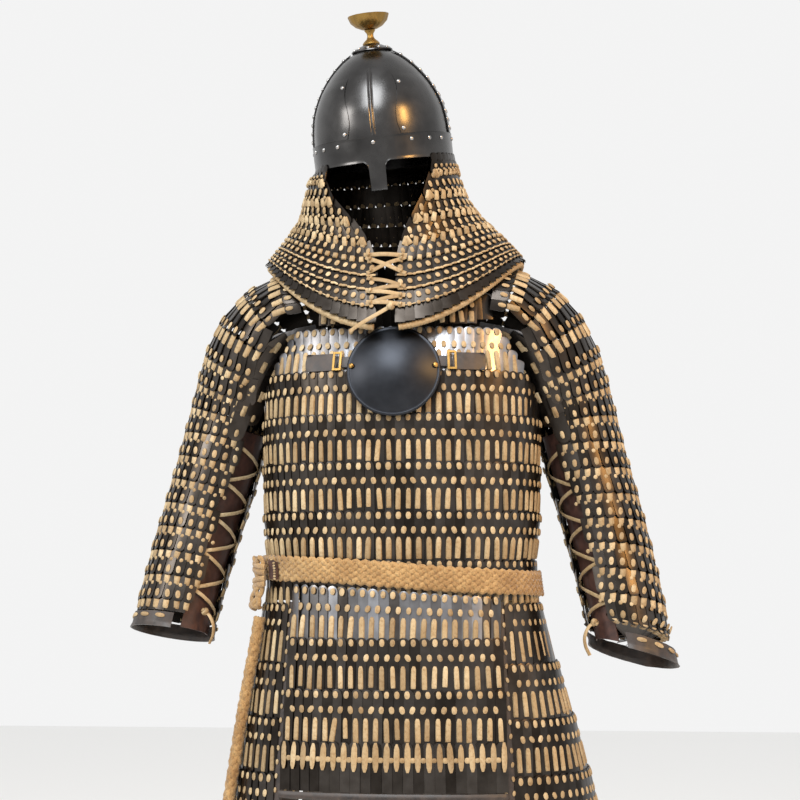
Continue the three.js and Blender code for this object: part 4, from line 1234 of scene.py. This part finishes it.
rivet_places = []
for side in (1, -1):
    name = "left" if side > 0 else "right"
    heights = np.linspace(37, 163, 40)
    radius = np.interp(heights, skull_line[:, 2], skull_line[:, 0])
    across = np.linspace(-17, 17, 13)
    turns = 90 + np.degrees(np.arcsin(np.clip(across[None] / (HELMET_DEEP * radius[:, None]), -0.99, 0.99)))
    band = Pile()
    band.add(plate_wall(side * turns, np.repeat(heights[:, None], 13, 1), 2.4 + 0 * turns, 0.8 + 0 * turns))
    side_band = band.piece(f"side_band_{name}", helmet_steel, 40)
    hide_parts(f"helmet_side_band_{name}")
    for z in np.arange(44, 160, 12.5):
        for y in (-13, 13):
            wide = HELMET_DEEP * np.interp(z, skull_line[:, 2], skull_line[:, 0])
            rivet_places.append((side * (90 + math.degrees(math.asin(y / wide))), z, 2.2))
    # A plate laps each side of the skull behind the rib, with an S-shaped edge and two rivets.
    lap, lap_z = Pile(), np.linspace(36, 124, 40)
    edge = 23 + 3.0 * np.sin((lap_z - 36) / 88 * math.pi * 1.7 + 3.3)
    turns = side * (edge[:, None] + (72 - edge[:, None]) * np.linspace(0, 1, 26)[None])
    lift = np.interp(np.linspace(0, 1, 26), [0, 0.1, 0.8, 1], [0.95, 0.95, 0.75, 0.15])[None] * np.ones((40, 1))
    lift = lift * np.interp(lap_z, [36, 112, 124], [1, 1, 0.15])[:, None]
    lap.add(plate_wall(turns, np.repeat(lap_z[:, None], 26, 1), lift, lift * 0 - 0.4))
    side_plate = lap.piece(f"side_plate_{name}", helmet_steel, 40)
    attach(side_plate, "root")
    rivet_places += [(side * (edge[3] + 3.5), 43, 0.9), (side * (edge[34] + 3.5), 111, 0.9)]

turns = np.sort(np.concatenate([np.linspace(-180, 176, 90), np.linspace(-16, 16, 100)]))
aside = np.abs(np.radians(turns) * 101 * HELMET_DEEP)
lower = np.where(aside < 13, -41.0, -9 * np.clip(1 - (aside - 13) / 9, 0, 1) ** 2 - 28 * np.clip(1 - (aside - 13) / 0.8, 0, 1))
share = np.linspace(0, 1, 22)[:, None]
heights = lower[None] + (35 - lower[None]) * share
lip = 0.9 * np.exp(-((heights - lower[None]) / 1.8) ** 2) + 0.4 * np.exp(-((heights - 35) / 1.2) ** 2)
brow = Pile()
brow.add(plate_wall(turns, heights, 3 + lip, 1.2 + 0 * lip, True))
brow_band = brow.piece("brow_band", helmet_steel, 40)
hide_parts("helmet_brow_band")
rivet_places += [(turn, 27, 3.0) for turn in (-65, -49, -32, -1, 30, 47, 62, 88, -90, 112, -114, 136, -138, 160, -162, 180)]

helmet_rivets = rivets(rivet_places, 6.4).piece("helmet_rivets", rivet_steel, 50)


def turned(profile, around, flute=None):
    """A closed round shape through (radius, height) points, fluted where flute gives a depth by radius."""
    a = np.arange(around) * 2 * math.pi / around
    rings = []
    for k, (radius, z) in enumerate(profile):
        wave = 1 + (0 if flute is None else flute[k]) * np.abs(np.cos(a * 6)) ** 0.7
        rings.append(np.stack([radius * wave * np.cos(a), radius * wave * np.sin(a), z + 0 * a], axis=1))
    return rings


cap = Pile()
cap_rings = turned([(29.5, 166.5), (31, 168.5), (30.5, 170), (24, 173.5), (15, 177.5), (4, 178.2), (0.6, 178.2)], 48)
cap.add(loft(in_place(np.array(cap_rings))))
helmet_cap = cap.piece("skull_cap", helmet_steel, 40)
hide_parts("helmet_cap")
cap_heads = Pile()
for k in range(10):
    a = 2 * math.pi * k / 10 + 0.2
    out = unit(np.array([[math.cos(a) * 0.35, math.sin(a) * 0.35, 1.0]])) @ helmet_turned.T
    along = unit(np.cross(out, [0.1, 1.0, 0.0]))
    place = in_place(np.array([[26 * math.cos(a), 26 * math.sin(a), 172.2]]))
    cap_heads.add_copies(dome(5.2), (place, along, np.cross(out, along), out))
cap_rivets = cap_heads.piece("cap_rivets", rivet_steel, 50)

gilt = steel_plate("old_gilt", (0.30, 0.185, 0.055), 0.3, 0.5, (1, 1, 1))
stem = Pile()
stem.add(loft(in_place(np.array(turned(
    [(12.6, 178.9), (13, 180), (11, 183), (6.4, 187), (4.6, 191), (5.0, 195), (7.4, 198.4), (8.4, 200)], 36)))))
finial_stem = stem.piece("gilt_stem", gilt, 40)
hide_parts("finial_stem")
cup = Pile()
cup_profile = [(5, 200.6), (12, 202), (20, 206), (26.5, 212.5), (29.6, 220), (30.2, 221.8), (28.6, 221.9), (27.6, 220.5),
               (24.5, 214.5), (18, 209.5), (9, 206.5), (0.8, 206)]
cup.add(loft(in_place(np.array(turned(cup_profile, 96, [0, 0.02, 0.035, 0.04, 0.03, 0.02, 0.02, 0.03, 0.04, 0.03, 0.01, 0])))))
finial_cup = cup.piece("gilt_cup", gilt, 40)
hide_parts("finial_cup")


# ---------------------------------------------------------------------------------------------
# Breast disc: a domed round of blackened steel that leans back on the breast, riveted to a short
# strap at each side. A buckle joins each strap to a leather tab laced to the breast panel.
DISC_AT = np.array([0.0, -136.0, -172.0])
DISC_RADIUS = 66
DISC_LEAN = math.radians(11)
DISC_DOME = 20
disc_out = np.array([0, -math.cos(DISC_LEAN), math.sin(DISC_LEAN)])
disc_up = np.array([0, math.sin(DISC_LEAN), math.cos(DISC_LEAN)])
blackened = steel_plate("blackened_steel", (0.030, 0.032, 0.037), 0.3, 0.5, (1, 1, 1))
brass = steel_plate("worn_brass", (0.42, 0.25, 0.075), 0.22, 0.42, (1, 1, 1))


def on_disc(rings):
    """Places given across, up and out from the disc's middle."""
    rings = np.asarray(rings)
    return DISC_AT + rings[..., 0:1] * [1, 0, 0] + rings[..., 1:2] * disc_up + rings[..., 2:3] * disc_out


radii = np.concatenate([np.linspace(0.8, 62, 26), [63.2, 64.4, 65.4, 66, 65.6, 64]])
rise = DISC_DOME * (1 - (radii / DISC_RADIUS) ** 2)
rise[26:] += [0.9, 1.5, 1.3, 0.3, -0.9, -1.4]
under = [(60, -0.2), (45, 9.0), (25, 15.4), (1, 18.2)]
shield = Pile()
shield.add(loft(on_disc(turned([*zip(radii, rise), *under], 96))))
disc = shield.piece("disc_shield", blackened, 40)
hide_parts("breast_disc")

for name, side in (("left", 1), ("right", -1)):
    turns = np.linspace(15, 62, 300) * side if side > 0 else np.linspace(-62, -15, 300)
    tab = Panel([f"disc_tab_{name}"], np.linspace(144.5, 171.5, 16), turns, body_ray, body_core, 35 * side, 2)
    strap = Panel([f"disc_strap_{name}"], np.linspace(149.5, 166.5, 12), turns, body_ray, body_core, 28 * side, 2)
    hide = Pile()

    def rounded(level, column):
        height = (level - 158) / 13.5
        back_in = 9 * (1 - math.sqrt(max(1 - height * height, 0)))
        outer = column if side > 0 else 1 - column
        return side * (-back_in * np.clip((outer - 0.5) * 2, 0, 1) + 0.7 * back_in * np.clip((0.5 - outer) * 2, 0, 1))

    hide.add(leather(tab, np.linspace(144.5, 171.5, 26), np.linspace(0, 1, 22), lambda share: 0.6 + 0.9 * math.sin(
        share * math.pi) ** 0.5, 3.2, rounded))
    leather_tab = hide.piece(f"leather_tab_{name}", dark_leather, 60)
    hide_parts(f"disc_tab_{name}")
    short = Pile()
    short.add(leather(strap, np.linspace(149.5, 166.5, 14), np.linspace(0, 1, 12), lambda share: 0.3 + 0.6 * math.sin(
        share * math.pi) ** 0.5, 2.6))
    leather_strap = short.piece(f"leather_strap_{name}", dark_leather, 60)
    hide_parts(f"disc_strap_{name}")

    for part in ("disc_rivet", "disc_buckle"):
        node_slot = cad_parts[f"{part}_{name}"].material_slots[0]
        node_slot.link = "OBJECT"
        node_slot.material = brass


# ---------------------------------------------------------------------------------------------
# Floor and light: a pale floor at the wearer's feet, a wide soft light in front and above, a
# smaller white one to the right side of the wearer, and a warm lamp to the left.
FLOOR_Z = -1.45
floor_finish, floor_shader, floor_node, floor_link = shader("pale_floor")
floor_shader.inputs["Base Color"].default_value = (0.86, 0.86, 0.85, 1)
floor_shader.inputs["Roughness"].default_value = 0.8
floor_mesh = bpy.data.meshes.new("floor")
floor_mesh.from_pydata([(-8, -8, FLOOR_Z), (8, -8, FLOOR_Z), (8, 8, FLOOR_Z), (-8, 8, FLOOR_Z)], [], [(0, 1, 2, 3)])
floor_mesh.materials.append(floor_finish)
floor = bpy.data.objects.new("floor", floor_mesh)
bpy.context.scene.collection.objects.link(floor)


def lamp(name, place, aim_at, size, power, colour):
    """A rectangular soft light that faces a point."""
    data = bpy.data.lights.new(name, "AREA")
    data.shape = "RECTANGLE"
    data.size, data.size_y = size
    data.energy = power
    data.color = colour
    made = bpy.data.objects.new(name, data)
    bpy.context.scene.collection.objects.link(made)
    made.location = place
    made.rotation_mode = "QUATERNION"
    made.rotation_quaternion = (Vector(aim_at) - Vector(place)).to_track_quat("-Z", "Y")
    return made


lamp("overhead", (-0.3, -1.9, 1.75), (0, 0, -0.2), (1.3, 1.5), 85, (0.93, 0.97, 1.0))
lamp("front_fill", (-2.3, -1.6, 0.9), (0, 0, -0.4), (0.8, 0.9), 34, (1.0, 0.98, 0.95))
lamp("warm_lamp", (1.8, -1.5, 0.95), (0.1, 0, 0), (0.4, 0.4), 38, (1.0, 0.52, 0.14))
world = bpy.data.worlds.new("studio")
bpy.context.scene.world = world
world.use_nodes = True
sky = world.node_tree.nodes["Background"]
sky.inputs["Color"].default_value = (1.0, 1.0, 1.0, 1)
sky.inputs["Strength"].default_value = 0.9
bpy.context.scene.view_settings.view_transform = "Standard"
